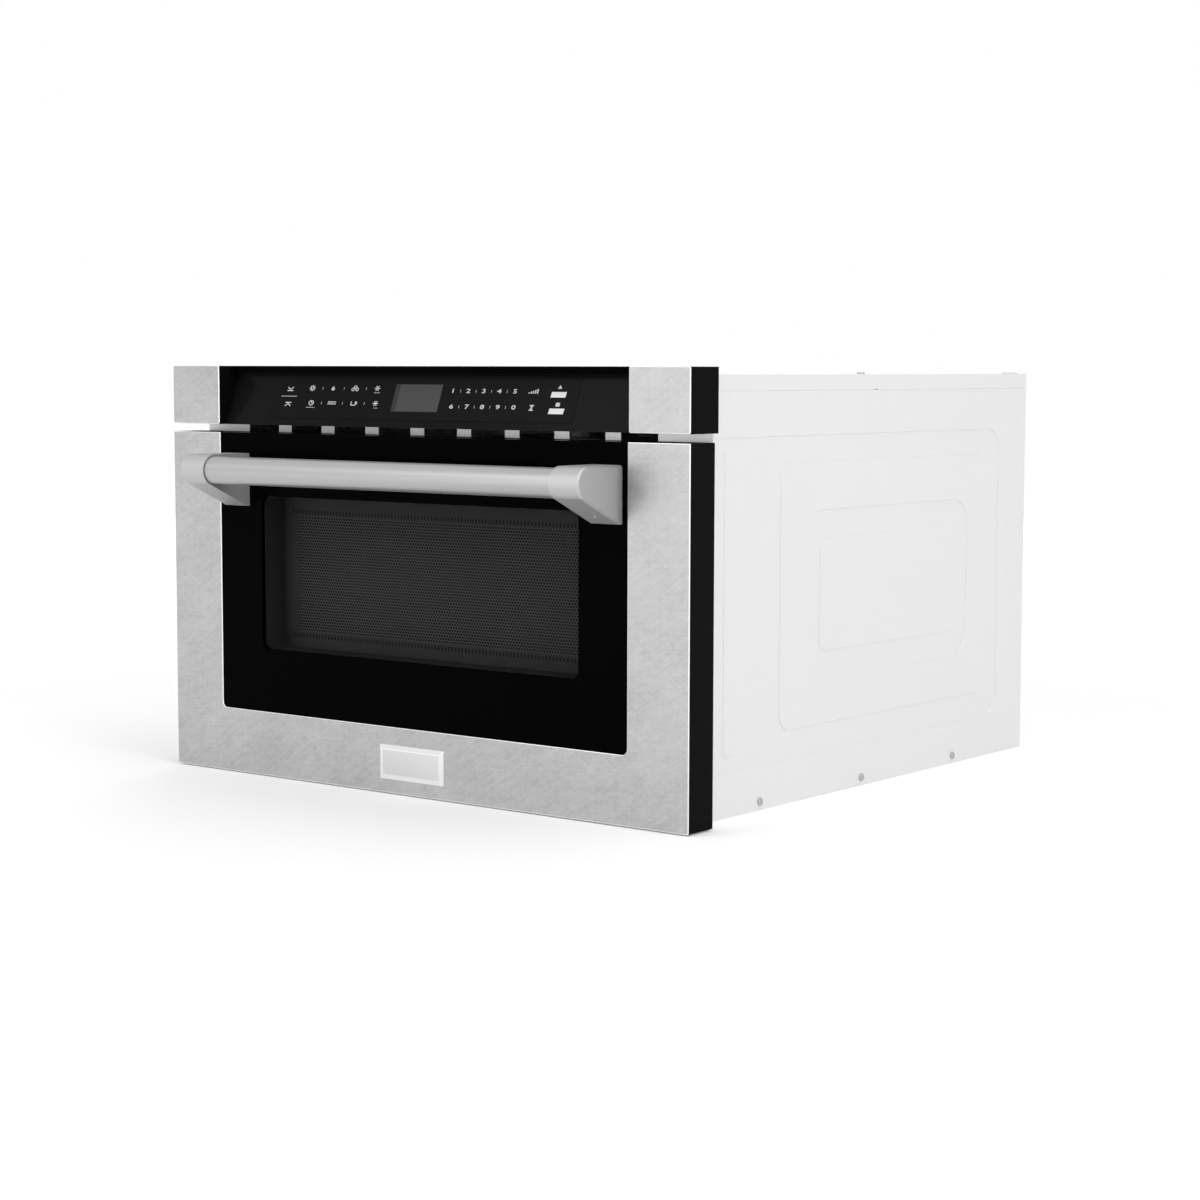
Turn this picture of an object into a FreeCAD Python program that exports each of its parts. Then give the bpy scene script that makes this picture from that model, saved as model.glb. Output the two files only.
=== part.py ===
import FreeCAD, Part
import math
import os
import Sketcher

# A microwave oven built as a drawer for a kitchen cabinet. Millimetres, +Z up, +X to the right
# seen from the front, +Y towards the back. The origin is the middle of the box on the floor.

V = FreeCAD.Vector
os.makedirs("parts", exist_ok=True)
doc = FreeCAD.newDocument("microwave_drawer")
sheet = doc.addObject("Spreadsheet::Sheet", "dims")


# ---------------------------------------------------------------- sizes

class Size(float):
    """A number that keeps the sheet expression it was worked out from."""

    def __new__(cls, value, text=None):
        size = float.__new__(cls, value)
        size.text = text or repr(float(value))
        return size

    def join(self, other, sign, value, swap=False):
        texts = (self.text, getattr(other, "text", repr(float(other))))
        first, second = reversed(texts) if swap else texts
        return Size(value, f"({first} {sign} {second})")

    def __add__(self, other):
        return self.join(other, "+", float(self) + float(other))

    def __radd__(self, other):
        return self.join(other, "+", float(self) + float(other))

    def __sub__(self, other):
        return self.join(other, "-", float(self) - float(other))

    def __rsub__(self, other):
        return self.join(other, "-", float(other) - float(self), swap=True)

    def __mul__(self, other):
        return self.join(other, "*", float(self) * float(other))

    def __rmul__(self, other):
        return self.join(other, "*", float(self) * float(other))

    def __truediv__(self, other):
        return self.join(other, "/", float(self) / float(other))

    def __neg__(self):
        return Size(-float(self), f"(0 - {self.text})")


row = 0


def dim(alias, value):
    """Write one driving size into the sheet and hand it back as a Size."""
    global row
    row += 1
    sheet.set(f"A{row}", alias)
    sheet.set(f"B{row}", repr(float(value)))
    sheet.setAlias(f"B{row}", alias)
    return Size(value, "dims." + alias)


class Sizes:
    """The driving sizes of one piece, each written into the sheet under the piece's name."""

    def __init__(self, piece, **values):
        for name, value in values.items():
            setattr(self, name, dim(f"{piece}_{name}", value))


# whole object
front_wide = dim("front_wide", 606.4)
front_tall = dim("front_tall", 382.6)
body_deep = dim("body_deep", 607.0)
handle_reach = dim("handle_reach", 57.3)
sheet_thick = dim("sheet_thick", 1.0)
slack = dim("slack", 0.3)
TOUCH = 0.1  # how near a point lies to a face to count as on it
front = (handle_reach - body_deep) / 2
half = front_wide / 2

# chassis
case_half = dim("case_half", 279.0)
case_top = dim("case_top", 376.1)
flange_half = dim("flange_half", 297.0)
flange_front = dim("flange_front", 40.0)
flange_thick = dim("flange_thick", 2.0)
flange_relief = dim("flange_relief", 0.4)
case_front = flange_front + flange_thick
cover_lip = dim("cover_lip", 14.0)
rear_inset = dim("rear_inset", 4.0)
rear_face = body_deep - rear_inset
press = Sizes("press", wall=1.2, rib_front=84.0, rib_rear=100.0, rib_low=53.0, rib_high=311.0, rib_rise=0.8)
base_wall = dim("base_wall", 15.0)
cover_slot = Sizes("cover_slot", left=-150.0, right=-90.0, front=520.0, wide=4.0, pitch=9.0)
rear_fold = Sizes("rear_fold", deep=14.0, low=20.0, high=340.0)
rear_slot = Sizes("rear_slot", left=60.0, wide=6.0, pitch=13.0, low=200.0, high=240.0)
gland = Sizes("gland", x=210.0, z=40.0, radius=9.0, fit=0.1, neck=6.0, bore=4.0, collar=13.0, collar_thick=3.0)
screw = Sizes("screw", level=7.5, radius=3.6, rise=1.8)
SIDE_SCREWS = [139.0, 304.0, 470.0]
SCREW_SIDES = 12
NUT_SIDES = 6
OPEN_STEP = (556.0, 38.0, 324.0, 26.0)  # rear, low and high edge and corner of the step that runs off the front
CLOSED_STEPS = [  # front, rear, low and high edge of the further steps, pressed out and in by turns, and corner
    (169.0, 529.0, 65.0, 299.0, 15.0),
    (205.0, 495.0, 103.0, 257.5, 28.0),
    (232.5, 469.0, 130.0, 230.5, 9.0),
]
COVER_SLOTS = 7
REAR_SLOTS = 9

# mounting flange
air_slot = Sizes("air_slot", pitch=55.5, wide=39.0, below=2.0, above=4.0)
AIR_SLOTS = 9
rail_mouth = Sizes("rail_mouth", deep=24.0, fit=1.2)
rack_mouth = Sizes("rack_mouth", side=5.0, below=6.0, above=4.0)
cabinet_hole = dim("cabinet_hole", 2.5)
cabinet_x = dim("cabinet_x", 288.0)
cabinet_low = dim("cabinet_low", 80.0)
cabinet_high = dim("cabinet_high", 300.0)

# fronts
ground_gap = dim("ground_gap", 1.2)
split_low = dim("split_low", 320.5)
split_high = dim("split_high", 327.9)
skin_thick = dim("skin_thick", 1.2)
drawer_front_deep = dim("drawer_front_deep", 35.1)
glass_half = dim("glass_half", 240.0)
glass_low = dim("glass_low", 61.0)
glass_face = dim("glass_face", 1.5)
glass_thick = dim("glass_thick", 4.0)
glass_corner = dim("glass_corner", 5.0)
skin_corner = dim("skin_corner", 2.0)
window_half = dim("window_half", 187.3)
window_low = dim("window_low", 120.0)
window_high = dim("window_high", 262.0)
window_corner = dim("window_corner", 6.0)
rim = dim("rim", 7.0)
screen_face = dim("screen_face", 32.0)
screen = Sizes("screen", rim=4.0, mesh_half=170.0, mesh_low=135.0, mesh_high=243.0, mesh_sink=0.3)
choke = Sizes("choke", half=234.0, low=68.0, high=300.0, corner=12.0, beside=3.0, above=4.0)
groove = Sizes("groove", inner=3.0, outer=9.0, end=14.0, deep=3.0)
badge = Sizes("badge", half=37.9, low=13.6, tall=31.3, thick=1.9, bevel=4.6, bevel_deep=1.6)

# control panel, whose glass leans back between two steel caps
cap_inner = dim("cap_inner", 241.0)
lean_low = dim("lean_low", 8.6)
lean_high = dim("lean_high", 26.6)
lean_top = dim("lean_top", 375.5)
lip_face = dim("lip_face", 13.9)
panel_glass = dim("panel_glass", 3.2)
panel_wall = dim("panel_wall", 3.2)
panel_lip = dim("panel_lip", 1.0)
hollow = Sizes("hollow", floor=3.0, ceiling=4.0, side=6.0)
board = Sizes("board", half=225.0, thick=1.6, below=4.0, above=6.0)
display_left = dim("display_left", -36.5)
display_right = dim("display_right", 20.0)
display_low = dim("display_low", 341.5)
display_high = dim("display_high", 366.5)

# handle
handle_axis_y = dim("handle_axis_y", -43.0)
handle_axis_z = dim("handle_axis_z", 287.2)
tube_radius = dim("tube_radius", 12.7)
tube_wall = dim("tube_wall", 1.6)
head_radius = dim("head_radius", 14.3)
bracket_inner = dim("bracket_inner", 203.0)
bracket_outer = dim("bracket_outer", 233.5)
bracket_low = dim("bracket_low", 252.5)
bracket_edge = dim("bracket_edge", 2.0)
bracket_bore = dim("bracket_bore", 24.0)
foot_lip = dim("foot_lip", 3.0)
slope_start_y = dim("slope_start_y", -50.0)
set_screw = Sizes("set_screw", radius=2.4, x=218.0, back=15.0, sunk=0.8, deep=8.0)

# cavity, tub and floor glass
cavity_half = dim("cavity_half", 226.0)
cavity_floor = dim("cavity_floor", 77.0)
cavity_ceiling = dim("cavity_ceiling", 292.0)
cavity_rear = dim("cavity_rear", 475.0)
tub_half = dim("tub_half", 221.0)
tub_bottom = dim("tub_bottom", 82.0)
tub_top = dim("tub_top", 285.0)
tub_front = dim("tub_front", 39.6)
tub_rear = dim("tub_rear", 460.0)
tub_wall = dim("tub_wall", 1.2)
tub_corner = dim("tub_corner", 14.0)
tray_thick = dim("tray_thick", 6.0)
tray_margin = dim("tray_margin", 8.0)
tray_corner = dim("tray_corner", 10.0)

# runners
rail_low = dim("rail_low", 127.0)
rail_high = dim("rail_high", 173.0)
rail_web = dim("rail_web", 274.0)
rail_reach = dim("rail_reach", 16.0)
rail_thick = dim("rail_thick", 1.5)
rail_start = dim("rail_start", 43.0)
rail_end = dim("rail_end", 476.0)
rail_foot = dim("rail_foot", 2.0)
tip_step = dim("tip_step", 3.0)
pad_inset = dim("pad_inset", 8.0)
RAIL_PADS = [(50.0, 76.0), (208.0, 230.0), (469.0, 476.0)]  # front and rear of each pad on the side panel

# rack drive
gear_module = dim("gear_module", 2.0)
pinion_teeth = 16
rack_teeth = 65
pitch_line = dim("pitch_line", 50.0)
pinion_y = dim("pinion_y", 75.0)
rack_half = dim("rack_half", 7.0)
rack_top = dim("rack_top", 62.0)
backlash = dim("backlash", 0.2)
ROOT_TAPER = 0.01  # how much a gap's half angle narrows from the base circle to the root
TIP_PAST = 0.4  # how far a gap's cutter reaches past the tips
pressure_angle = math.radians(20)
pinion_radius = gear_module * pinion_teeth / 2
tooth_pitch = gear_module * math.pi
dedendum = 1.25 * gear_module
pinion_shaft = dim("pinion_shaft", 12.0)
gearbox = Sizes("gearbox", left=10.0, right=38.0, half=28.0, above=12.0, bore_left=8.0, bore=12.0)
motor_can = Sizes("motor_can", radius=18.0, long=62.0, rise=4.0)
keeper = Sizes("keeper", front=118.0, rear=138.0, side=6.0, above=6.0, play=0.5, below=1.0)

# door switches and the prongs that reach them
PRONG_LEVELS = [215.0, 255.0]
SWITCH_LEVELS = [200.0, 229.0, 258.0]
prong = Sizes("prong", left=-254.0, right=-248.0, half_tall=4.0, reach=26.0, fit_x=3.0, fit_z=2.0)
switch = Sizes("switch", left=-268.0, right=-259.0, front=6.0, rear=30.0, tall=12.0)
switch_plate = Sizes("switch_plate", left=-270.0, low=196.0, high=274.0, reach=34.0, thick=2.0)

# microwave feed above and behind the cavity
stirrer_y = dim("stirrer_y", 250.0)
dome_radius = dim("dome_radius", 95.0)
dome_high = dim("dome_high", 23.0)
dome_lip = dim("dome_lip", 8.0)
DOME_SIDES = 12
shaft_radius = dim("shaft_radius", 3.0)
shaft_clear = dim("shaft_clear", 4.0)
run_fit = dim("run_fit", 0.05)
petal = Sizes("petal", tip=70.0, half=28.0, notch=18.0, thick=1.2, lift=6.0)
stirrer_hub = Sizes("stirrer_hub", radius=7.0, tall=6.0, shaft=18.0)
stirrer_can = Sizes("stirrer_can", radius=24.0, tall=15.0, bore=8.0)
cover_plate = Sizes("cover_plate", margin=6.0, thick=1.8)
guide_half = dim("guide_half", 45.0)
guide_front = dim("guide_front", 282.0)
guide_tall = dim("guide_tall", 38.0)
guide_past = dim("guide_past", 48.0)
feed_slot = Sizes("feed_slot", half=36.0, front=8.0, rear=42.0)
magnetron_y = dim("magnetron_y", 532.0)
antenna = Sizes("antenna", radius=14.0, clear=17.0, tall=26.0)
yoke = Sizes("yoke", half=43.0, deep=38.0, wall=2.0, tall=92.0, cap_half=47.0, cap_deep=42.0, cap=3.0)
anode = Sizes("anode", radius=21.0, fin_deep=34.0, fin=1.0, fin_low=80.0, fin_pitch=16.0)
FINS = 5
ANODE_SIDES = 8
filter_box = Sizes("filter_box", half=36.0, deep=30.0, tall=30.0)

# power parts behind the cavity
power_y = dim("power_y", 540.0)
core = Sizes("core", left=118.0, right=222.0, half=34.0, low=4.0, high=90.0, foot_out=10.0, foot_half=30.0)
coil = Sizes("coil", left=136.0, right=204.0, half=50.0, tall=22.0)
COIL_LEVELS = [22.0, 56.0]
capacitor = Sizes("capacitor", left=-24.0, right=28.0, half=17.0, tall=96.0, cut=10.0)
lamp = Sizes("lamp", x=124.0, z=256.0, half_x=24.0, half_z=20.0, plate=6.0, radius=13.0, long=38.0)

# cooling fan
fan_x = dim("fan_x", -128.0)
fan_y = dim("fan_y", 540.0)
fan_z = dim("fan_z", 210.0)
fan_radius = dim("fan_radius", 50.0)
shroud = Sizes("shroud", clear=3.0, wall=2.0, deep=20.0, plate=2.0, half=57.0, rise=62.0, ahead=10.0)
fan_can = Sizes("fan_can", radius=24.0, long=38.0, back=58.0, bore=12.0)
fan_post = Sizes("fan_post", half=22.0, thick=4.0, back=58.0, foot_back=62.0, foot_front=30.0, foot=2.0)
fan_hub = Sizes("fan_hub", radius=13.0, back=9.0, long=16.0, shaft=19.0)
fan_wing = Sizes("fan_wing", root=11.0, root_half=8.0, tip_half=17.0, thick=1.4, pitch=26.0)
FAN_WINGS = 5
HUB_SIDES = 20

doc.recompute()


def at(depth):
    """Y of a point that lies this far behind the steel front's plane."""
    return front + depth


# ---------------------------------------------------------------- modelling helpers

parts = {}
AXES = {"X": V(1, 0, 0), "Y": V(0, 1, 0), "Z": V(0, 0, 1)}
PLANES = {"X": "YZ_Plane", "Y": "XZ_Plane", "Z": "XY_Plane"}


def keep(thing, label):
    thing.Label = label
    parts[label] = thing
    return thing


def bind(thing, prop, size):
    """Set a property and tie it to the sheet when the size came from there."""
    if isinstance(size, Size):
        thing.setExpression(prop, size.text)
    elif "." not in prop:
        setattr(thing, prop, size)
    else:
        thing.setExpression(prop, repr(float(size)))


def place(thing, x=0, y=0, z=0):
    for letter, size in zip("xyz", (x, y, z)):
        bind(thing, "Placement.Base." + letter, size)


def body(label):
    return keep(doc.addObject("PartDesign::Body", label), label)


def origin_part(owner, role):
    return next(o for o in owner.Origin.OriginFeatures if o.Role == role)


def sketch(owner, normal, level=0):
    """A sketch square to one axis, at a level along it. u and v are the other two axes."""
    drawing = owner.newObject("Sketcher::SketchObject", owner.Label + "_sketch")
    drawing.AttachmentSupport = [(origin_part(owner, PLANES[normal]), "")]
    drawing.MapMode = "FlatFace"
    offset = -level if normal == "Y" else level
    bind(drawing, "AttachmentOffset.Base.z", offset)
    return drawing


def fix(drawing, kind, index, point, size):
    """Constrain one coordinate or radius, tied to the sheet where the size is."""
    if kind == "Radius":
        number = drawing.addConstraint(Sketcher.Constraint(kind, index, float(size)))
    else:
        number = drawing.addConstraint(Sketcher.Constraint(kind, -1, 1, index, point, float(size)))
    if isinstance(size, Size):
        drawing.setExpression(f"Constraints[{number}]", size.text)


def arc_between(start, end, radius):
    """The arc of a radius between two points, bulging to the right of the way from start to end."""
    chord = end - start
    middle = (start + end) / 2
    left = V(-chord.y, chord.x, 0).normalize()
    rise = math.sqrt(max(radius ** 2 - (chord.Length / 2) ** 2, 0.0))
    centre = middle + left * rise
    top = centre - left * radius
    return Part.Arc(start, top, end)


def outline(drawing, points):
    """A closed outline of (u, v) or (u, v, radius): a radius makes the edge after the point an arc."""
    base = drawing.GeometryCount
    spots = [V(float(p[0]), float(p[1]), 0) for p in points]
    count = len(points)
    for i, point in enumerate(points):
        start, end = spots[i], spots[(i + 1) % count]
        if len(point) == 3:
            drawing.addGeometry(arc_between(start, end, float(point[2])))
        else:
            drawing.addGeometry(Part.LineSegment(start, end))
    ends = []
    for i, point in enumerate(points):
        curve = drawing.Geometry[base + i]
        ends.append((1, 2) if (curve.StartPoint - spots[i]).Length < 1e-6 else (2, 1))
    for i, point in enumerate(points):
        after = (i + 1) % count
        join = Sketcher.Constraint("Coincident", base + i, ends[i][1], base + after, ends[after][0])
        drawing.addConstraint(join)
        fix(drawing, "DistanceX", base + i, ends[i][0], point[0])
        fix(drawing, "DistanceY", base + i, ends[i][0], point[1])
        if len(point) == 3:
            fix(drawing, "Radius", base + i, None, point[2])
    return drawing


def rectangle(drawing, u0, u1, v0, v1, radius=None):
    if radius is None:
        return outline(drawing, [(u0, v0), (u1, v0), (u1, v1), (u0, v1)])
    r = radius
    corners = [(u0 + r, v0), (u1 - r, v0, r), (u1, v0 + r), (u1, v1 - r, r),
               (u1 - r, v1), (u0 + r, v1, r), (u0, v1 - r), (u0, v0 + r, r)]
    return outline(drawing, corners)


def cut_rectangle(drawing, u0, u1, v0, v1, cut):
    """A rectangle with its corners cut straight."""
    return outline(drawing, [(u0 + cut, v0), (u1 - cut, v0), (u1, v0 + cut), (u1, v1 - cut),
                             (u1 - cut, v1), (u0 + cut, v1), (u0, v1 - cut), (u0, v0 + cut)])


def polygon(drawing, u, v, reach, sides):
    """Equal sides that all lie this far from a centre."""
    corner = reach / math.cos(math.pi / sides)
    turns = [math.tau * (number + 0.5) / sides for number in range(sides)]
    return outline(drawing, [(u + corner * math.cos(turn), v + corner * math.sin(turn)) for turn in turns])


def circle(drawing, u, v, radius):
    index = drawing.GeometryCount
    drawing.addGeometry(Part.Circle(V(float(u), float(v), 0), V(0, 0, 1), float(radius)))
    fix(drawing, "DistanceX", index, 3, u)
    fix(drawing, "DistanceY", index, 3, v)
    fix(drawing, "Radius", index, None, radius)
    return drawing


def extrude(kind, drawing, length, normal, way):
    """Pad or pocket a sketch by a length, way being +1 or -1 along the sketch's axis."""
    owner = drawing.getParentGeoFeatureGroup()
    feature = owner.newObject("PartDesign::" + kind, owner.Label + "_" + kind.lower())
    feature.Profile = drawing
    bind(feature, "Length", length)
    along = way if normal != "Y" else -way
    if kind == "Pocket":
        along = -along
    feature.Reversed = along < 0
    drawing.Visibility = False
    return feature


def pad(drawing, length, normal, way=1):
    return extrude("Pad", drawing, length, normal, way)


def pocket(drawing, length, normal, way=1):
    return extrude("Pocket", drawing, length, normal, way)


def slab(owner, normal, low, high, shape, *sizes):
    """Add a prism between two levels of an axis."""
    return pad(shape(sketch(owner, normal, low), *sizes), high - low, normal)


def opening(owner, normal, low, high, shape, *sizes):
    """Cut a prism between two levels of an axis."""
    return pocket(shape(sketch(owner, normal, low), *sizes), high - low, normal)


def named_edges(feature, test):
    """Names of the edges whose middle point and direction pass a test."""
    names = []
    for number, edge in enumerate(feature.Shape.Edges, 1):
        middle = edge.valueAt((edge.FirstParameter + edge.LastParameter) / 2)
        if test(edge, middle):
            names.append(f"Edge{number}")
    return names


def along(edge, axis):
    return isinstance(edge.Curve, Part.Line) and abs(edge.Curve.Direction.dot(AXES[axis])) > 0.999


def soften(owner, test, size, kind="Fillet"):
    """Round or chamfer the edges of a body's last feature that pass a test."""
    doc.recompute()
    base = owner.Tip
    feature = owner.newObject("PartDesign::" + kind, owner.Label + "_" + kind.lower())
    feature.Base = (base, named_edges(base, test))
    bind(feature, "Radius" if kind == "Fillet" else "Size", size)
    return feature


def repeat(owner, features, axis, spacing, count):
    """Repeat features in a row along an axis."""
    doc.recompute()
    pattern = owner.newObject("PartDesign::LinearPattern", owner.Label + "_row")
    pattern.Originals = features
    pattern.Direction = (origin_part(owner, axis + "_Axis"), [""])
    pattern.Occurrences = count
    bind(pattern, "Length", spacing * (count - 1))
    owner.Tip = pattern
    return pattern


def ring(owner, features, axis, count):
    """Repeat features round one of the body's own axes."""
    doc.recompute()
    pattern = owner.newObject("PartDesign::PolarPattern", owner.Label + "_ring")
    pattern.Originals = features
    pattern.Axis = (origin_part(owner, axis + "_Axis"), [""])
    pattern.Angle = 360
    pattern.Occurrences = count
    owner.Tip = pattern
    return pattern


def mirrored(source, label):
    """The same piece on the other side of the object."""
    copy = doc.addObject("Part::Mirroring", label)
    copy.Source = source
    copy.Base = V(0, 0, 0)
    copy.Normal = V(1, 0, 0)
    return keep(copy, label)


def box(name, x0, x1, y0, y1, z0, z1):
    block = doc.addObject("Part::Box", name)
    bind(block, "Length", x1 - x0)
    bind(block, "Width", y1 - y0)
    bind(block, "Height", z1 - z0)
    place(block, x0, y0, z0)
    return block


TURNS = {"X": V(0, 1, 0), "Y": V(-1, 0, 0), "Z": V(0, 0, 1)}


def rod(name, axis, radius, length, x, y, z):
    """A cylinder from a point along one of the axes."""
    bar = doc.addObject("Part::Cylinder", name)
    bind(bar, "Radius", radius)
    bind(bar, "Height", length)
    if axis != "Z":
        bar.Placement.Rotation = FreeCAD.Rotation(TURNS[axis], 90)
    place(bar, x, y, z)
    return bar


def many_sided(name, axis, sides, radius, length, x, y, z):
    """A prism with a regular outline, from a point along one of the axes."""
    bar = doc.addObject("Part::Prism", name)
    bar.Polygon = sides
    bind(bar, "Circumradius", radius)
    bind(bar, "Height", length)
    if axis != "Z":
        bar.Placement.Rotation = FreeCAD.Rotation(TURNS[axis], 90)
    place(bar, x, y, z)
    return bar


def joined(label, pieces):
    union = doc.addObject("Part::MultiFuse", label)
    union.Shapes = pieces
    union.Refine = True
    return keep(union, label)


def grouped(label, pieces):
    group = doc.addObject("Part::Compound", label)
    group.Links = pieces
    return keep(group, label)


def unlisted(thing):
    """Take an inner shape off the list of pieces that are written."""
    del parts[thing.Label]
    return thing


def less(label, base, tool):
    cut = doc.addObject("Part::Cut", label)
    cut.Base = base
    cut.Tool = tool
    return keep(cut, label)


# ---------------------------------------------------------------- chassis

def off_front_edge(drawing, y0, y1, z0, z1, radius):
    """Outline that is open to the front edge and has round corners at the rear."""
    return outline(drawing, [(y0, z0), (y1 - radius, z0, radius), (y1, z0 + radius),
                             (y1, z1 - radius, radius), (y1 - radius, z1), (y0, z1)])


def side_panel():
    """Sheet side with steps pressed in and out by turns, one inside the next, and a pressed rib."""
    piece = body("side_panel_right")
    inner = case_half - sheet_thick
    under = inner - sheet_thick
    seam = case_top - cover_lip
    slab(piece, "X", inner, case_half, rectangle, at(case_front), at(body_deep), Size(0), seam)
    joggle = (at(case_front), at(body_deep), seam - cover_lip, case_top - 2 * sheet_thick)
    slab(piece, "X", under, inner, rectangle, *joggle)
    wall = press.wall
    rear, low, high, corner = OPEN_STEP
    slab(piece, "X", under, inner, rectangle, at(case_front), at(rear), low, high)
    edges = (at(case_front), at(rear) - wall, low + wall, high - wall, corner - wall)
    opening(piece, "X", inner, case_half, off_front_edge, *edges)
    for number, (y0, y1, z0, z1, corner) in enumerate(CLOSED_STEPS):
        whole = (at(y0), at(y1), z0, z1)
        inset = (at(y0) + wall, at(y1) - wall, z0 + wall, z1 - wall)
        if number % 2:
            slab(piece, "X", under, inner, cut_rectangle, *whole, corner / 2)
            opening(piece, "X", inner, case_half, rectangle, *inset, corner - wall)
        else:
            slab(piece, "X", inner, case_half, rectangle, *whole, corner)
            opening(piece, "X", under, inner, cut_rectangle, *inset, corner - wall)
    rib = (at(press.rib_front), at(press.rib_rear), press.rib_low, press.rib_high)
    slab(piece, "X", inner, inner + press.rib_rise, rectangle, *rib)
    hollow_rib = (rib[0] + wall, rib[1] - wall, rib[2] + wall, rib[3] - wall)
    opening(piece, "X", under, under + press.rib_rise, rectangle, *hollow_rib)
    return piece


def base_plate():
    piece = body("base_plate")
    inner = case_half - sheet_thick
    slab(piece, "Z", Size(0), sheet_thick, rectangle, -inner, inner, at(case_front), at(rear_face))
    wall = (at(case_front), at(rear_face), sheet_thick, sheet_thick + base_wall)
    for low in (-inner, inner - sheet_thick):
        slab(piece, "X", low, low + sheet_thick, rectangle, *wall)
    return piece


def top_cover():
    """Lid with lips outside the side panels and a field of air slots near the back."""
    piece = body("top_cover")
    under = case_top - sheet_thick
    slab(piece, "Z", under, case_top, rectangle, -case_half, case_half, at(case_front), at(body_deep))
    for low in (-case_half, case_half - sheet_thick):
        lip = (at(case_front), at(body_deep), case_top - cover_lip, under)
        slab(piece, "X", low, low + sheet_thick, rectangle, *lip)
    start = at(cover_slot.front)
    edges = (cover_slot.left, cover_slot.right, start, start + cover_slot.wide)
    slot = opening(piece, "Z", under, case_top, rectangle, *edges)
    repeat(piece, [slot], "Y", cover_slot.pitch, COVER_SLOTS)
    return piece


def rear_panel():
    """Back wall with folded sides, a hole for the cord gland and a row of air slots."""
    piece = body("rear_panel")
    inner = case_half - 2 * sheet_thick
    face = at(rear_face)
    back = face - sheet_thick
    slab(piece, "Y", back, face, rectangle, -inner, inner, sheet_thick, case_top - sheet_thick)
    for low in (-inner, inner - sheet_thick):
        fold = (face - rear_fold.deep, back, rear_fold.low, rear_fold.high)
        slab(piece, "X", low, low + sheet_thick, rectangle, *fold)
    opening(piece, "Y", back, face, circle, gland.x, gland.z, gland.radius)
    edges = (rear_slot.left, rear_slot.left + rear_slot.wide, rear_slot.low, rear_slot.high)
    slot = opening(piece, "Y", back, face, rectangle, *edges)
    repeat(piece, [slot], "X", rear_slot.pitch, REAR_SLOTS)
    return piece


def front_frame():
    """Mounting flange: it screws to the cabinet and carries the cavity, the rails and the air slots."""
    piece = body("front_frame")
    near, far = at(flange_front), at(case_front)
    slab(piece, "Y", near, far, rectangle, -flange_half, flange_half, ground_gap, case_top - sheet_thick)
    opening(piece, "Y", near, far, rectangle, -cavity_half, cavity_half, cavity_floor, cavity_ceiling)
    web = rail_web - rail_thick
    for side in (-1, 1):
        border = sorted((side * (case_half + slack), side * flange_half), key=float)
        opening(piece, "Y", far - flange_relief, far, rectangle, *border, ground_gap, case_top - sheet_thick)
        edges = sorted((side * (web - rail_mouth.deep), side * web), key=float)
        opening(piece, "Y", near, far, rectangle, *edges, rail_low + rail_mouth.fit, rail_high - rail_mouth.fit)
        for z in (cabinet_low, cabinet_high):
            opening(piece, "Y", near, far, circle, side * cabinet_x, z, cabinet_hole)
    reach = rack_half + rack_mouth.side
    levels = (pitch_line - rack_mouth.below, rack_top + rack_mouth.above)
    opening(piece, "Y", near, far, rectangle, -reach, reach, *levels)
    tall = prong.half_tall + prong.fit_z
    for z in PRONG_LEVELS:
        mouth = (prong.left - prong.fit_x, prong.right + prong.fit_x, z - tall, z + tall)
        opening(piece, "Y", near, far, rectangle, *mouth)
    first = -air_slot.pitch * ((AIR_SLOTS - 1) / 2) - air_slot.wide / 2
    edges = (first, first + air_slot.wide, split_low - air_slot.below, split_high + air_slot.above)
    slot = opening(piece, "Y", near, far, rectangle, *edges)
    repeat(piece, [slot], "X", air_slot.pitch, AIR_SLOTS)
    return piece


# ---------------------------------------------------------------- control panel

def lean(level, behind=0.0):
    """Depth of the leaning glass at a height, and of what lies that far behind it."""
    slope = (lean_high - lean_low) / (lean_top - split_high)
    return at(lean_low + slope * (level - split_high) + behind)


def slanted(behind, thick, low, high):
    """Outline of a plate parallel to the leaning glass."""
    return [
        (lean(low, behind), low),
        (lean(low, behind + thick), low),
        (lean(high, behind + thick), high),
        (lean(high, behind), high),
    ]


def control_housing():
    """Black housing: a leaning seat for the glass under a top lip, with a block at each end."""
    piece = body("control_housing")
    top = front_tall - slack
    profile = [
        (lean(split_high, panel_glass), split_high),
        (at(flange_front), split_high),
        (at(flange_front), top),
        (at(lip_face), top),
        (at(lip_face), top - panel_lip),
        (lean(lean_top), lean_top),
        (lean(lean_top, panel_glass), lean_top),
    ]
    slab(piece, "X", -cap_inner, cap_inner, outline, profile)
    hidden = half - slack
    block = (at(skin_thick), at(flange_front), split_high, top)
    slab(piece, "X", -hidden, -cap_inner, rectangle, *block)
    slab(piece, "X", cap_inner, hidden, rectangle, *block)
    floor, ceiling = split_high + hollow.floor, lean_top - hollow.ceiling
    depth = panel_glass + panel_wall
    inside = [
        (lean(floor, depth), floor),
        (at(flange_front), floor),
        (at(flange_front), ceiling),
        (lean(ceiling, depth), ceiling),
    ]
    opening(piece, "X", -cap_inner + hollow.side, cap_inner - hollow.side, outline, inside)
    window = slanted(panel_glass, panel_wall + slack, display_low, display_high)
    opening(piece, "X", display_left, display_right, outline, window)
    return piece


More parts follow.
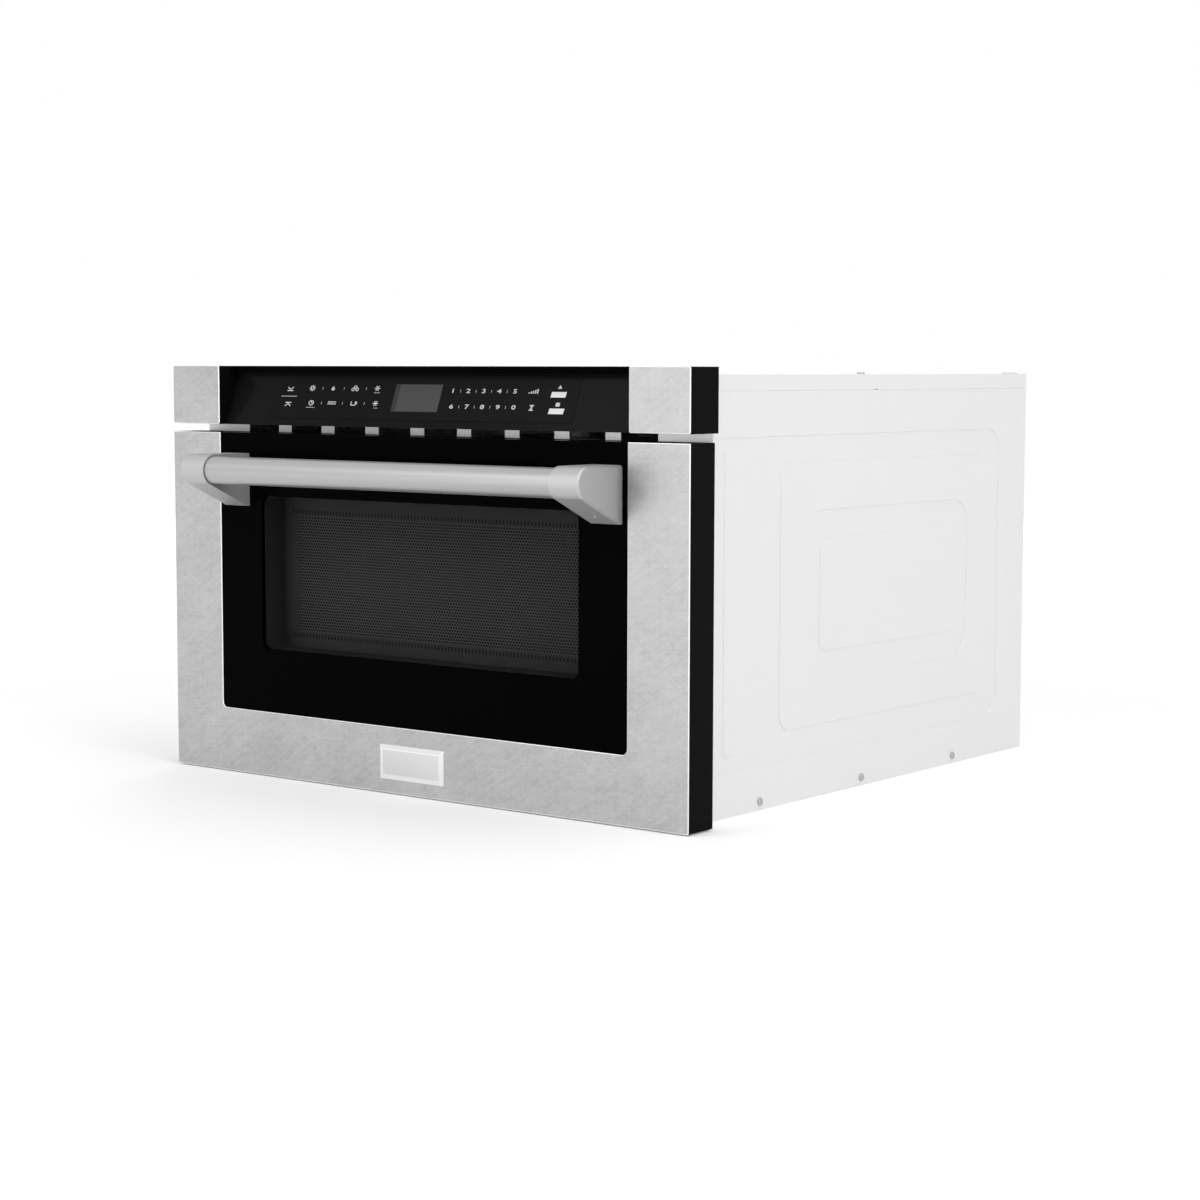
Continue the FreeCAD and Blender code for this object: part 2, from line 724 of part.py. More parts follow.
def control_panel_parts():
    """Leaning glass, the display and board behind it, and the two steel end caps."""
    glass = body("control_glass")
    edge = cap_inner - slack
    slab(glass, "X", -edge, edge, outline, slanted(0.0, panel_glass, split_high, lean_top))
    display = body("display_module")
    pane = slanted(panel_glass, panel_wall, display_low, display_high)
    slab(display, "X", display_left + slack, display_right - slack, outline, pane)
    card = body("control_board")
    behind = panel_glass + panel_wall
    edges = slanted(behind, board.thick, split_high + board.below, lean_top - board.above)
    slab(card, "X", -board.half, board.half, outline, edges)
    cap = body("end_cap_right")
    face = (cap_inner, half, split_high, front_tall, skin_corner)
    slab(cap, "Y", at(Size(0)), at(skin_thick), rectangle, *face)
    mirrored(cap, "end_cap_left")


# ---------------------------------------------------------------- drawer front

def drawer_frame():
    """Black frame of the drawer front, with the deep window and a seat for its screen."""
    piece = body("drawer_frame")
    edge = half - slack
    low = ground_gap + slack
    slab(piece, "Y", at(skin_thick), at(drawer_front_deep), rectangle, -edge, edge, low, split_low)
    seat = [
        (-glass_half, split_low),
        (-glass_half, glass_low + glass_corner, glass_corner),
        (-glass_half + glass_corner, glass_low),
        (glass_half - glass_corner, glass_low, glass_corner),
        (glass_half, glass_low + glass_corner),
        (glass_half, split_low),
    ]
    glass_back = at(glass_face + glass_thick)
    opening(piece, "Y", at(skin_thick), glass_back, outline, seat)
    hole = (-window_half, window_half, window_low, window_high, window_corner)
    opening(piece, "Y", glass_back, at(drawer_front_deep), rectangle, *hole)
    ledge = (-window_half - rim, window_half + rim, window_low - rim, window_high + rim)
    opening(piece, "Y", at(screen_face), at(drawer_front_deep), rectangle, *ledge)
    return piece


def front_skin():
    """Brushed steel skin in a U round the glass."""
    piece = body("front_skin")
    edge = skin_corner
    border = [
        (-half, split_low),
        (-half, ground_gap + edge, edge),
        (-half + edge, ground_gap),
        (half - edge, ground_gap, edge),
        (half, ground_gap + edge),
        (half, split_low),
        (glass_half, split_low),
        (glass_half, glass_low),
        (-glass_half, glass_low),
        (-glass_half, split_low),
    ]
    slab(piece, "Y", at(Size(0)), at(skin_thick), outline, border)

    def inner_corner(edge_line, middle):
        near = abs(abs(middle.x) - float(glass_half)) < TOUCH and abs(middle.z - float(glass_low)) < TOUCH
        return along(edge_line, "Y") and near

    soften(piece, inner_corner, glass_corner)
    return piece


def front_glass():
    piece = body("front_glass")
    gap = slack
    corner = glass_corner - gap
    shape = [
        (-glass_half + gap, split_low),
        (-glass_half + gap, glass_low + glass_corner, corner),
        (-glass_half + glass_corner, glass_low + gap),
        (glass_half - glass_corner, glass_low + gap, corner),
        (glass_half - gap, glass_low + glass_corner),
        (glass_half - gap, split_low),
    ]
    slab(piece, "Y", at(glass_face), at(glass_face + glass_thick), outline, shape)
    return piece


def window_screen():
    """Pressed metal screen: a pan whose rim fills the seat, with its mesh field sunk a little."""
    piece = body("window_screen")
    reach_x, gap = window_half + rim - slack, rim - slack
    low, high = window_low - gap, window_high + gap
    slab(piece, "Y", at(screen_face), at(drawer_front_deep), rectangle, -reach_x, reach_x, low, high)
    edge = screen.rim
    pan = (-reach_x + edge, reach_x - edge, low + edge, high - edge)
    opening(piece, "Y", at(screen_face + skin_thick), at(drawer_front_deep), rectangle, *pan)
    field = (-screen.mesh_half, screen.mesh_half, screen.mesh_low, screen.mesh_high)
    opening(piece, "Y", at(screen_face), at(screen_face + screen.mesh_sink), rectangle, *field)
    return piece


def window_clear(wall_start, wall_end, piece):
    """The opening behind the screen, the same in the choke frame and the tub."""
    reach = window_half + choke.beside
    edges = (-reach, reach, window_low - choke.above, window_high + choke.above)
    return opening(piece, "Y", wall_start, wall_end, rectangle, *edges)


def choke_frame():
    """Metal ring on the back of the front that closes against the mounting flange."""
    piece = body("choke_frame")
    near, far = at(drawer_front_deep), at(tub_front)
    slab(piece, "Y", near, far, rectangle, -choke.half, choke.half, choke.low, choke.high, choke.corner)
    window_clear(near, far, piece)
    for side in (-1, 1):
        edges = sorted((side * (tub_half + groove.inner), side * (tub_half + groove.outer)), key=float)
        ends = (choke.low + groove.end, choke.high - groove.end)
        opening(piece, "Y", far - groove.deep, far, rectangle, *edges, *ends)
    return piece


def badge_plate():
    """Bare bevelled plate in the middle of the lower steel band."""
    piece = body("badge_plate")
    front_face = at(-badge.thick)
    edges = (-badge.half, badge.half, badge.low, badge.low + badge.tall)
    slab(piece, "Y", front_face, at(Size(0)), rectangle, *edges)

    def front_edges(edge, middle):
        return abs(middle.y - float(front_face)) < TOUCH

    bevel = soften(piece, front_edges, badge.bevel, "Chamfer")
    bevel.ChamferType = "Two distances"
    bind(bevel, "Size2", badge.bevel_deep)
    bevel.FlipDirection = True
    return piece


# ---------------------------------------------------------------- handle

slope_drop = handle_axis_y - slope_start_y
slope_start_z = handle_axis_z - Size(math.sqrt(head_radius ** 2 - slope_drop ** 2))
slope_angle = math.atan2(slope_start_z - bracket_low, glass_face - foot_lip - slope_start_y)


def handle_bracket():
    """Cast bracket: round head over the tube, flat top, sloping underside and a wide foot."""
    piece = body("bracket_casting_right")
    axis = at(handle_axis_y)
    top = handle_axis_z + head_radius
    profile = [
        (axis, top, head_radius),
        (axis - head_radius, handle_axis_z, head_radius),
        (at(slope_start_y), slope_start_z),
        (at(glass_face - foot_lip), bracket_low),
        (at(glass_face), bracket_low),
        (at(glass_face), top),
    ]
    slab(piece, "X", bracket_inner, bracket_outer, outline, profile)

    def outer_edges(edge, middle):
        on_side = abs(middle.x - float(bracket_outer)) < TOUCH
        return on_side and middle.y < float(at(glass_face - foot_lip)) - TOUCH

    soften(piece, outer_edges, bracket_edge, "Chamfer")
    bore = (axis, handle_axis_z, tube_radius + run_fit)
    opening(piece, "X", bracket_inner, bracket_inner + bracket_bore, circle, *bore)
    return unlisted(piece)


def set_on_slope(bar, side, start):
    """Stand a bar square to the bracket's underside, from a depth below its surface."""
    bar.Placement.Rotation = FreeCAD.Rotation(V(1, 0, 0), -math.degrees(slope_angle))
    depth = glass_face - foot_lip - set_screw.back + start * math.sin(slope_angle)
    level = bracket_low + set_screw.back * math.tan(slope_angle) + start * math.cos(slope_angle)
    place(bar, side * set_screw.x, at(depth), level)
    return bar


def handle_parts():
    """Two castings, each with a set screw under it, and the tube between them."""
    drill = doc.addObject("Part::Cylinder", "set_screw_hole")
    bind(drill, "Radius", set_screw.radius + run_fit)
    bind(drill, "Height", set_screw.deep + bracket_edge)
    bracket = less("handle_bracket_right", handle_bracket(), set_on_slope(drill, 1, -bracket_edge))
    mirrored(bracket, "handle_bracket_left")
    screws = []
    for side in (-1, 1):
        long = set_screw.deep - set_screw.sunk
        pin = many_sided("set_screw", "Z", SCREW_SIDES, set_screw.radius, long, 0, 0, 0)
        screws.append(set_on_slope(pin, side, set_screw.sunk))
    grouped("handle_screws", screws)
    tube = body("handle_tube")
    end = bracket_inner + bracket_bore
    wall = circle(sketch(tube, "X", -end), at(handle_axis_y), handle_axis_z, tube_radius)
    circle(wall, at(handle_axis_y), handle_axis_z, tube_radius - tube_wall)
    pad(wall, 2 * end, "X")


# ---------------------------------------------------------------- cavity and tub

def cavity_shell():
    """Five-sided sheet box, open at the front, with a hole in its ceiling under the stirrer dome."""
    piece = body("cavity_shell")
    wall = sheet_thick
    outer = (-cavity_half - wall, cavity_half + wall, cavity_floor - wall, cavity_ceiling + wall)
    slab(piece, "Y", at(case_front), at(cavity_rear + wall), rectangle, *outer)
    inner = (-cavity_half, cavity_half, cavity_floor, cavity_ceiling)
    opening(piece, "Y", at(case_front), at(cavity_rear), rectangle, *inner)
    mouth = (Size(0), at(stirrer_y), dome_radius - dome_lip, DOME_SIDES)
    opening(piece, "Z", cavity_ceiling, cavity_ceiling + wall, polygon, *mouth)
    return piece


def drawer_tub():
    """Deep sheet pan with rounded corners and a window in its front wall."""
    piece = body("drawer_tub")
    outer = (-tub_half, tub_half, at(tub_front), at(tub_rear), tub_corner)
    slab(piece, "Z", tub_bottom, tub_top, rectangle, *outer)
    wall = tub_wall
    inner = (-tub_half + wall, tub_half - wall, at(tub_front) + wall, at(tub_rear) - wall, tub_corner - wall)
    opening(piece, "Z", tub_bottom + wall, tub_top, rectangle, *inner)
    window_clear(at(tub_front), at(tub_front) + wall, piece)
    return piece


def floor_glass():
    piece = body("floor_glass")
    edge = tub_half - tray_margin
    level = tub_bottom + tub_wall
    y0, y1 = at(tub_front) + tray_margin, at(tub_rear) - tray_margin
    slab(piece, "Z", level, level + tray_thick, rectangle, -edge, edge, y0, y1, tray_corner)
    return piece


# ---------------------------------------------------------------- runners

def channel(label, step, start, end):
    """One member of the runner: a channel that sits a step inside the one before it."""
    piece = body(label)
    shift = (rail_thick + slack) * step
    web = rail_web - shift
    low, high = rail_low + shift, rail_high - shift
    tip = rail_web - rail_reach - tip_step * step
    section = [
        (tip, low), (web, low), (web, high), (tip, high),
        (tip, high - rail_thick), (web - rail_thick, high - rail_thick),
        (web - rail_thick, low + rail_thick), (tip, low + rail_thick),
    ]
    slab(piece, "Y", at(start), at(end), outline, section)
    return piece


def runners():
    """Three-part runner on each side, on pads on the side panel and with a foot on the drawer front."""
    outer = channel("outer_rail_right", 0, case_front, rail_end)
    panel = case_half - 2 * sheet_thick
    for start, end in RAIL_PADS:
        pad_edges = (at(start), at(end), rail_low + pad_inset, rail_high - pad_inset)
        slab(outer, "X", rail_web, panel, rectangle, *pad_edges)
    middle = channel("middle_rail_right", 1, rail_start, rail_end)
    inner = channel("inner_rail_right", 2, drawer_front_deep, rail_end)
    shift = 2 * (rail_thick + slack)
    foot = (rail_web - rail_mouth.deep, rail_web - shift, rail_low + shift, rail_high - shift)
    slab(inner, "Y", at(drawer_front_deep), at(drawer_front_deep) + rail_foot, rectangle, *foot)
    for piece in (outer, middle, inner):
        mirrored(piece, piece.Label.replace("right", "left"))


# ---------------------------------------------------------------- rack and pinion

def gap_outline(centre):
    """Gap between two rack teeth, from the tips to the root."""
    flank = math.tan(pressure_angle)
    middle = tooth_pitch / 4 + backlash / 2
    tip, root = pitch_line - gear_module, pitch_line + dedendum
    wide = middle + gear_module * flank
    narrow = middle - dedendum * flank
    return [(centre - wide, tip), (centre + wide, tip), (centre + narrow, root), (centre - narrow, root)]


def rack():
    """Rack under the drawer, with a gap for each tooth of the pinion's way."""
    piece = body("drive_rack")
    bar = (at(drawer_front_deep), at(rail_end), pitch_line - gear_module, rack_top)
    slab(piece, "X", -rack_half, rack_half, rectangle, *bar)
    first = at(pinion_y) - 2 * tooth_pitch
    gap = opening(piece, "X", -rack_half, rack_half, outline, gap_outline(first))
    repeat(piece, [gap], "Y", tooth_pitch, rack_teeth)
    return piece


def involute_half(radius):
    """Half of the angle that a gap of the pinion takes at a radius."""
    pitch = float(pinion_radius)
    base = pitch * math.cos(pressure_angle)
    angle = math.acos(min(base / radius, 1.0))
    tooth = float(tooth_pitch) / 2 - float(backlash)
    start = math.tan(pressure_angle) - pressure_angle
    half_tooth = tooth / (2 * pitch) + start - (math.tan(angle) - angle)
    return math.pi / pinion_teeth - half_tooth


def pinion():
    """Drive pinion, modelled round its own axis and then set under the rack."""
    piece = body("pinion")
    tip = float(pinion_radius + gear_module)
    root = float(pinion_radius - dedendum)
    slab(piece, "X", -rack_half, rack_half, circle, Size(0), Size(0), Size(tip))
    base = float(pinion_radius) * math.cos(pressure_angle)
    middle = math.pi / 2 + math.pi / pinion_teeth
    flank = [(tip + TIP_PAST, involute_half(tip))]
    flank += [(radius, involute_half(radius)) for radius in (float(pinion_radius), base)]
    flank.append((root, involute_half(base) - ROOT_TAPER))
    sides = []
    for way in (1, -1):
        turned = [(radius, middle + way * spread) for radius, spread in flank]
        sides.append([(Size(r * math.cos(angle)), Size(r * math.sin(angle))) for r, angle in turned])
    gap = opening(piece, "X", -rack_half, rack_half, outline, sides[0] + sides[1][::-1])
    ring(piece, [gap], "X", pinion_teeth)
    slab(piece, "X", rack_half, rack_half + pinion_shaft, circle, Size(0), Size(0), shaft_radius)
    place(piece, 0, at(pinion_y), pitch_line - pinion_radius)
    return piece


def drive_motor():
    """Gearmotor: gearbox standing on the base, with the motor can beside it."""
    y = at(pinion_y)
    z = pitch_line - pinion_radius
    top = pitch_line + gearbox.above
    case = box("gearbox", gearbox.left, gearbox.right, y - gearbox.half, y + gearbox.half, sheet_thick, top)
    can = rod("motor_can", "X", motor_can.radius, motor_can.long, gearbox.right, y, z + motor_can.rise)
    shell = unlisted(joined("motor_shell", [case, can]))
    bore = rod("gearbox_bore", "X", shaft_radius + run_fit, gearbox.bore, gearbox.bore_left, y, z)
    less("drive_motor", shell, bore)


def rack_guide():
    """Bracket on the base with a channel that keeps the rack down on the pinion."""
    piece = body("rack_guide")
    y0, y1 = at(keeper.front), at(keeper.rear)
    wide = rack_half + keeper.side
    slab(piece, "Y", y0, y1, rectangle, -wide, wide, sheet_thick, rack_top + keeper.above)
    inner = rack_half + keeper.play
    clear = (-inner, inner, pitch_line - gear_module - keeper.below, rack_top + keeper.play)
    opening(piece, "Y", y0, y1, rectangle, *clear)
    return piece


# ---------------------------------------------------------------- microwave feed

def feed_edges():
    """The slot that lets the microwaves from the waveguide into the dome."""
    start = at(guide_front)
    return -feed_slot.half, feed_slot.half, start + feed_slot.front, start + feed_slot.rear


def stirrer_dome():
    """Many-sided pan over the ceiling hole, with a slot into the waveguide and a hole for the shaft."""
    piece = body("stirrer_dome")
    level = cavity_ceiling + sheet_thick
    under, top = level + dome_high - sheet_thick, level + dome_high
    y = at(stirrer_y)
    slab(piece, "Z", level, top, polygon, Size(0), y, dome_radius, DOME_SIDES)
    opening(piece, "Z", level, under, polygon, Size(0), y, dome_radius - sheet_thick, DOME_SIDES)
    opening(piece, "Z", under, top, circle, Size(0), y, shaft_clear)
    opening(piece, "Z", under, top, rectangle, *feed_edges())
    return piece


def stirrer_blade():
    """Four petals on a hub and shaft, modelled round its own axis."""
    piece = body("stirrer_blade")
    petals = []
    for turn in range(4):
        for u, v in ((petal.tip, -petal.half), (petal.tip, petal.half), (petal.notch, petal.notch)):
            for quarter in range(turn):
                u, v = -v, u
            petals.append((u, v))
    slab(piece, "Z", Size(0), petal.thick, outline, petals)
    hub_top = petal.thick + stirrer_hub.tall
    slab(piece, "Z", petal.thick, hub_top, polygon, Size(0), Size(0), stirrer_hub.radius, HUB_SIDES)
    slab(piece, "Z", hub_top, hub_top + stirrer_hub.shaft, circle, Size(0), Size(0), shaft_radius)
    place(piece, 0, at(stirrer_y), cavity_ceiling + petal.lift)
    return piece


def stirrer_motor():
    """Flat many-sided motor can on top of the dome, bored for the stirrer's shaft."""
    piece = body("stirrer_motor")
    low = cavity_ceiling + sheet_thick + dome_high
    y = at(stirrer_y)
    slab(piece, "Z", low, low + stirrer_can.tall, polygon, Size(0), y, stirrer_can.radius, HUB_SIDES)
    opening(piece, "Z", low, low + stirrer_can.bore, circle, Size(0), y, shaft_radius + run_fit)
    return piece


def stirrer_cover():
    piece = body("stirrer_cover")
    reach = dome_radius + cover_plate.margin
    y = at(stirrer_y)
    under = cavity_ceiling - cover_plate.thick
    slab(piece, "Z", under, cavity_ceiling, rectangle, -reach, reach, y - reach, y + reach)
    return piece


def waveguide():
    """Rectangular tube from the magnetron, behind the cavity, forward to the dome."""
    piece = body("waveguide")
    low = cavity_ceiling + sheet_thick + dome_high
    high = low + guide_tall
    rear = at(magnetron_y) + guide_past
    wall = sheet_thick
    slab(piece, "Y", at(guide_front), rear, rectangle, -guide_half, guide_half, low, high)
    inner = (-guide_half + wall, guide_half - wall, low + wall, high - wall)
    opening(piece, "Y", at(guide_front) + wall, rear - wall, rectangle, *inner)
    opening(piece, "Z", low, low + wall, rectangle, *feed_edges())
    opening(piece, "Z", low, low + wall, circle, Size(0), at(magnetron_y), antenna.clear)
    return piece


def magnetron():
    """Magnetron: yoke, stacked fins round the anode, antenna up into the waveguide, filter box below."""
    piece = body("magnetron")
    top = cavity_ceiling + sheet_thick + dome_high
    roof = top - yoke.cap
    foot = top - yoke.tall
    floor = foot - yoke.wall
    y = at(magnetron_y)
    deep = (y - yoke.deep, y + yoke.deep)
    slab(piece, "Z", roof, top, rectangle, -yoke.cap_half, yoke.cap_half, y - yoke.cap_deep, y + yoke.cap_deep)
    slab(piece, "Z", top, top + antenna.tall, circle, Size(0), y, antenna.radius)
    slab(piece, "Z", foot, roof, polygon, Size(0), y, anode.radius, ANODE_SIDES)
    inside = yoke.half - yoke.wall
    for side in (-1, 1):
        edges = sorted((side * inside, side * yoke.half), key=float)
        slab(piece, "Z", foot, roof, rectangle, *edges, *deep)
    slab(piece, "Z", floor, foot, rectangle, -yoke.half, yoke.half, *deep)
    can = (-filter_box.half, filter_box.half, y - filter_box.deep, y + filter_box.deep)
    slab(piece, "Z", floor - filter_box.tall, floor, rectangle, *can)
    first = top - anode.fin_low
    edges = (-inside, inside, y - anode.fin_deep, y + anode.fin_deep)
    fin = slab(piece, "Z", first, first + anode.fin, rectangle, *edges)
    repeat(piece, [fin], "Z", anode.fin_pitch, FINS)
    return piece


def power_parts():
    """Transformer, capacitor and lamp behind the cavity."""
    y = at(power_y)
    floor = sheet_thick
    low, high = floor + core.low, floor + core.high
    stack = box("core_block", core.left, core.right, y - core.half, y + core.half, low, high)
    left, right = core.left - core.foot_out, core.right + core.foot_out
    foot = box("core_foot", left, right, y - core.foot_half, y + core.foot_half, floor, low)
    solid = unlisted(joined("core_solid", [stack, foot]))
    windows, coils = [], []
    for level in COIL_LEVELS:
        edges = (floor + level, floor + level + coil.tall)
        windows.append(box("core_window", coil.left, coil.right, y - core.half, y + core.half, *edges))
        coils.append(box("coil", coil.left, coil.right, y - coil.half, y + coil.half, *edges))
    less("transformer_core", solid, unlisted(joined("core_windows", windows)))
    grouped("transformer_coils", coils)
    can = body("hv_capacitor")
    edges = (capacitor.left, capacitor.right, y - capacitor.half, y + capacitor.half, capacitor.cut)
    slab(can, "Z", floor, floor + capacitor.tall, cut_rectangle, *edges)
    holder = body("oven_lamp")
    wall = at(cavity_rear + sheet_thick)
    seat = wall + lamp.plate
    plate = (lamp.x - lamp.half_x, lamp.x + lamp.half_x, lamp.z - lamp.half_z, lamp.z + lamp.half_z)
    slab(holder, "Y", wall, seat, rectangle, *plate)
    slab(holder, "Y", seat, seat + lamp.long, circle, lamp.x, lamp.z, lamp.radius)


# ---------------------------------------------------------------- fan

def fan_shroud():
    """Plate on the base with a collar round the fan."""
    piece = body("fan_shroud")
    x = fan_x + shroud.ahead
    mouth = fan_radius + shroud.clear
    plate = (at(fan_y) - shroud.half, at(fan_y) + shroud.half, sheet_thick, fan_z + shroud.rise)
    slab(piece, "X", x, x + shroud.plate, rectangle, *plate)
    slab(piece, "X", x - shroud.deep, x, circle, at(fan_y), fan_z, mouth + shroud.wall)
    opening(piece, "X", x - shroud.deep, x + shroud.plate, circle, at(fan_y), fan_z, mouth)
    return piece


def fan_motor():
    """Motor behind the fan on a post from the base."""
    y = at(fan_y)
    back = fan_x - fan_can.back
    can = rod("fan_can", "X", fan_can.radius, fan_can.long, back, y, fan_z)
    left = fan_x - fan_post.back
    y0, y1 = y - fan_post.half, y + fan_post.half
    post = box("fan_post", left, left + fan_post.thick, y0, y1, sheet_thick, fan_z)
    left, right = fan_x - fan_post.foot_back, fan_x - fan_post.foot_front
    foot = box("fan_foot", left, right, y0, y1, sheet_thick, sheet_thick + fan_post.foot)
    shell = unlisted(joined("fan_motor_shell", [can, post, foot]))
    face = back + fan_can.long
    bore = rod("fan_bore", "X", shaft_radius + run_fit, fan_can.bore, face - fan_can.bore + run_fit, y, fan_z)
    less("fan_motor", shell, bore)


def fan_blade():
    """Five pitched blades on a hub, modelled round the X axis and then set in the shroud."""
    piece = body("fan_blade")
    back = -fan_hub.back
    slab(piece, "X", back, back + fan_hub.long, polygon, Size(0), Size(0), fan_hub.radius, HUB_SIDES)
    slab(piece, "X", back - fan_hub.shaft, back, circle, Size(0), Size(0), shaft_radius)
    wing = sketch(piece, "X", -fan_wing.thick / 2)
    wing.AttachmentOffset.Rotation = FreeCAD.Rotation(V(0, 1, 0), fan_wing.pitch)
    tip = fan_radius - fan_wing.thick
    outline(wing, [(-fan_wing.root_half, fan_wing.root), (fan_wing.root_half, fan_wing.root),
                   (fan_wing.tip_half, tip), (-fan_wing.tip_half, tip)])
    blade = pad(wing, fan_wing.thick, "X")
    ring(piece, [blade], "X", FAN_WINGS)
    place(piece, fan_x, at(fan_y), fan_z)
    return piece


# ---------------------------------------------------------------- interlock, gland and screws

def interlock():
    """Three door switches on a bracket, and the two prongs on the drawer that reach them."""
    rear = at(case_front)
    back, thick = switch_plate.left, switch_plate.thick
    low, high = switch_plate.low, switch_plate.high
    plate = box("switch_bracket", back, back + thick, rear, rear + switch_plate.reach, low, high)
    tab = box("switch_tab", switch.left, switch.right, rear, rear + thick, low, high)
    switches = []
    y0, y1 = rear + switch.front, rear + switch.rear
    for level in SWITCH_LEVELS:
        switches.append(box("switch", switch.left, switch.right, y0, y1, Size(level), level + switch.tall))
    joined("interlock_switches", [plate, tab] + switches)
    prongs = []
    start = at(drawer_front_deep)
    for level in PRONG_LEVELS:
        edges = (level - prong.half_tall, level + prong.half_tall)
        prongs.append(box("prong", prong.left, prong.right, start, start + prong.reach, *edges))
    grouped("latch_prongs", prongs)


def cord_gland():
    """Bushing in the rear panel: a neck with a six-sided collar, bored for a cord."""
    face = at(rear_face)
    start = face - gland.neck
    long = gland.neck + gland.collar_thick
    neck = many_sided("gland_neck", "Y", SCREW_SIDES, gland.radius - gland.fit, long, gland.x, start, gland.z)
    seat = (gland.x, face, gland.z)
    collar = many_sided("gland_collar", "Y", NUT_SIDES, gland.collar, gland.collar_thick, *seat)
    shell = unlisted(joined("gland_shell", [neck, collar]))
    less("cord_gland", shell, rod("gland_bore", "Y", gland.bore, long, gland.x, start, gland.z))


def chassis_screws():
    """Heads of the screws that hold the side panels to the base."""
    heads = []
    for start in (-case_half - screw.rise, case_half):
        for depth in SIDE_SCREWS:
            place_of_head = (start, at(depth), screw.level)
            heads.append(many_sided("screw_head", "X", SCREW_SIDES, screw.radius, screw.rise, *place_of_head))
    grouped("chassis_screws", heads)


# ---------------------------------------------------------------- build and write

mirrored(side_panel(), "side_panel_left")
base_plate()
top_cover()
rear_panel()
front_frame()
control_housing()
control_panel_parts()
drawer_frame()
front_skin()
front_glass()
window_screen()
choke_frame()
badge_plate()
handle_parts()
cavity_shell()
drawer_tub()
floor_glass()
runners()
rack()
pinion()
drive_motor()
rack_guide()
stirrer_dome()
stirrer_blade()
stirrer_motor()
stirrer_cover()
waveguide()
magnetron()
power_parts()
fan_shroud()
fan_motor()
fan_blade()
interlock()
cord_gland()
chassis_screws()

doc.recompute()

for thing in doc.Objects:
    if "Invalid" in thing.State or "Error" in thing.State:
        raise RuntimeError(f"{thing.Label} failed: {thing.State}")
for label, thing in parts.items():
    shape = thing.Shape
    if shape.isNull() or not shape.isValid() or not shape.Solids:
        raise RuntimeError(f"{label} has no valid solid")

for label, thing in parts.items():
    thing.Shape.exportStep(f"parts/{label}.step")
print(len(parts), "parts written")
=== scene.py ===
import math

import bmesh
import bpy
from bpy.props import FloatProperty, FloatVectorProperty, IntProperty, PointerProperty
from mathutils import Matrix, Vector


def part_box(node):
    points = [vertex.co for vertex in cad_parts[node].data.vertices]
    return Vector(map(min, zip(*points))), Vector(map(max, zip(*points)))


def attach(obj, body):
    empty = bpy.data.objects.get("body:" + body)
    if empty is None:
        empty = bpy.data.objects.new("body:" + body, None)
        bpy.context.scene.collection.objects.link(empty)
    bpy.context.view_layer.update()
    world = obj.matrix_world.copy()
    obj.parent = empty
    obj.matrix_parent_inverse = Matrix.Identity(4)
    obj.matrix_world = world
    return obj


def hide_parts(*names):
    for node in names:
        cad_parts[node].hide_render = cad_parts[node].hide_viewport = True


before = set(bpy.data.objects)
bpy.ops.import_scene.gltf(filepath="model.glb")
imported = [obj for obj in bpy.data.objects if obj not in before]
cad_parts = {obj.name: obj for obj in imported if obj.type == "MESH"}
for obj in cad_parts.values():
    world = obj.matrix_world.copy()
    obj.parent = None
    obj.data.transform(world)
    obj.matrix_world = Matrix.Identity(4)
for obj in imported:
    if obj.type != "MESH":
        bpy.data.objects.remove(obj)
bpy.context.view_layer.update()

bl_info = {
    "name": "Microwave drawer dressing",
    "version": (1, 0, 0),
    "blender": (4, 5, 0),
    "location": "3D View > Sidebar > Oven",
    "description": "Finishes, edges, panel marks and small hardware of a microwave drawer",
    "category": "Object",
}

MM = 0.001
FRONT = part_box("front_skin")[0].y
SMOOTH_UNDER = math.radians(40)
ROUNDED_OVER = math.radians(25)
MERGED_UNDER = math.radians(0.8)


# ---------------------------------------------------------------- settings

class SteelSettings(bpy.types.PropertyGroup):
    steel_color: FloatVectorProperty(
        name="Steel", description="Colour of the brushed front", subtype="COLOR",
        default=(0.402, 0.402, 0.405))
    tube_color: FloatVectorProperty(
        name="Tube", description="Colour of the satin tube", subtype="COLOR",
        default=(0.415, 0.415, 0.418))
    casting_color: FloatVectorProperty(
        name="Castings", description="Colour of the handle's castings", subtype="COLOR",
        default=(0.460, 0.460, 0.464))
    chassis_color: FloatVectorProperty(
        name="Chassis", description="Colour of the plated sheet", subtype="COLOR",
        default=(0.76, 0.76, 0.76))
    skin_edge: FloatProperty(
        name="Skin edge", description="Rounding of the front skin", default=0.8 * MM, unit="LENGTH")
    sheet_edge: FloatProperty(
        name="Sheet edge", description="Rounding of sheet edges", default=0.45 * MM, unit="LENGTH")
    casting_edge: FloatProperty(
        name="Casting edge", description="Rounding of the castings", default=1.5 * MM, unit="LENGTH")
    rounding_steps: IntProperty(name="Steps", description="Faces across a rounded edge", default=3, min=1)


class BlackSettings(bpy.types.PropertyGroup):
    coat_color: FloatVectorProperty(
        name="Black coat", description="Colour of the black frame and housing", subtype="COLOR",
        default=(0.0035, 0.0035, 0.0035))
    glass_color: FloatVectorProperty(
        name="Black glass", description="Colour of the printed glass", subtype="COLOR",
        default=(0.0007, 0.0007, 0.0007))
    # Lighter than the black coat: a painted sheen of the window glass over the walls.
    recess_color_with_glass_sheen: FloatVectorProperty(
        name="Recess", description="Colour of the walls behind the window", subtype="COLOR",
        default=(0.018, 0.018, 0.018))


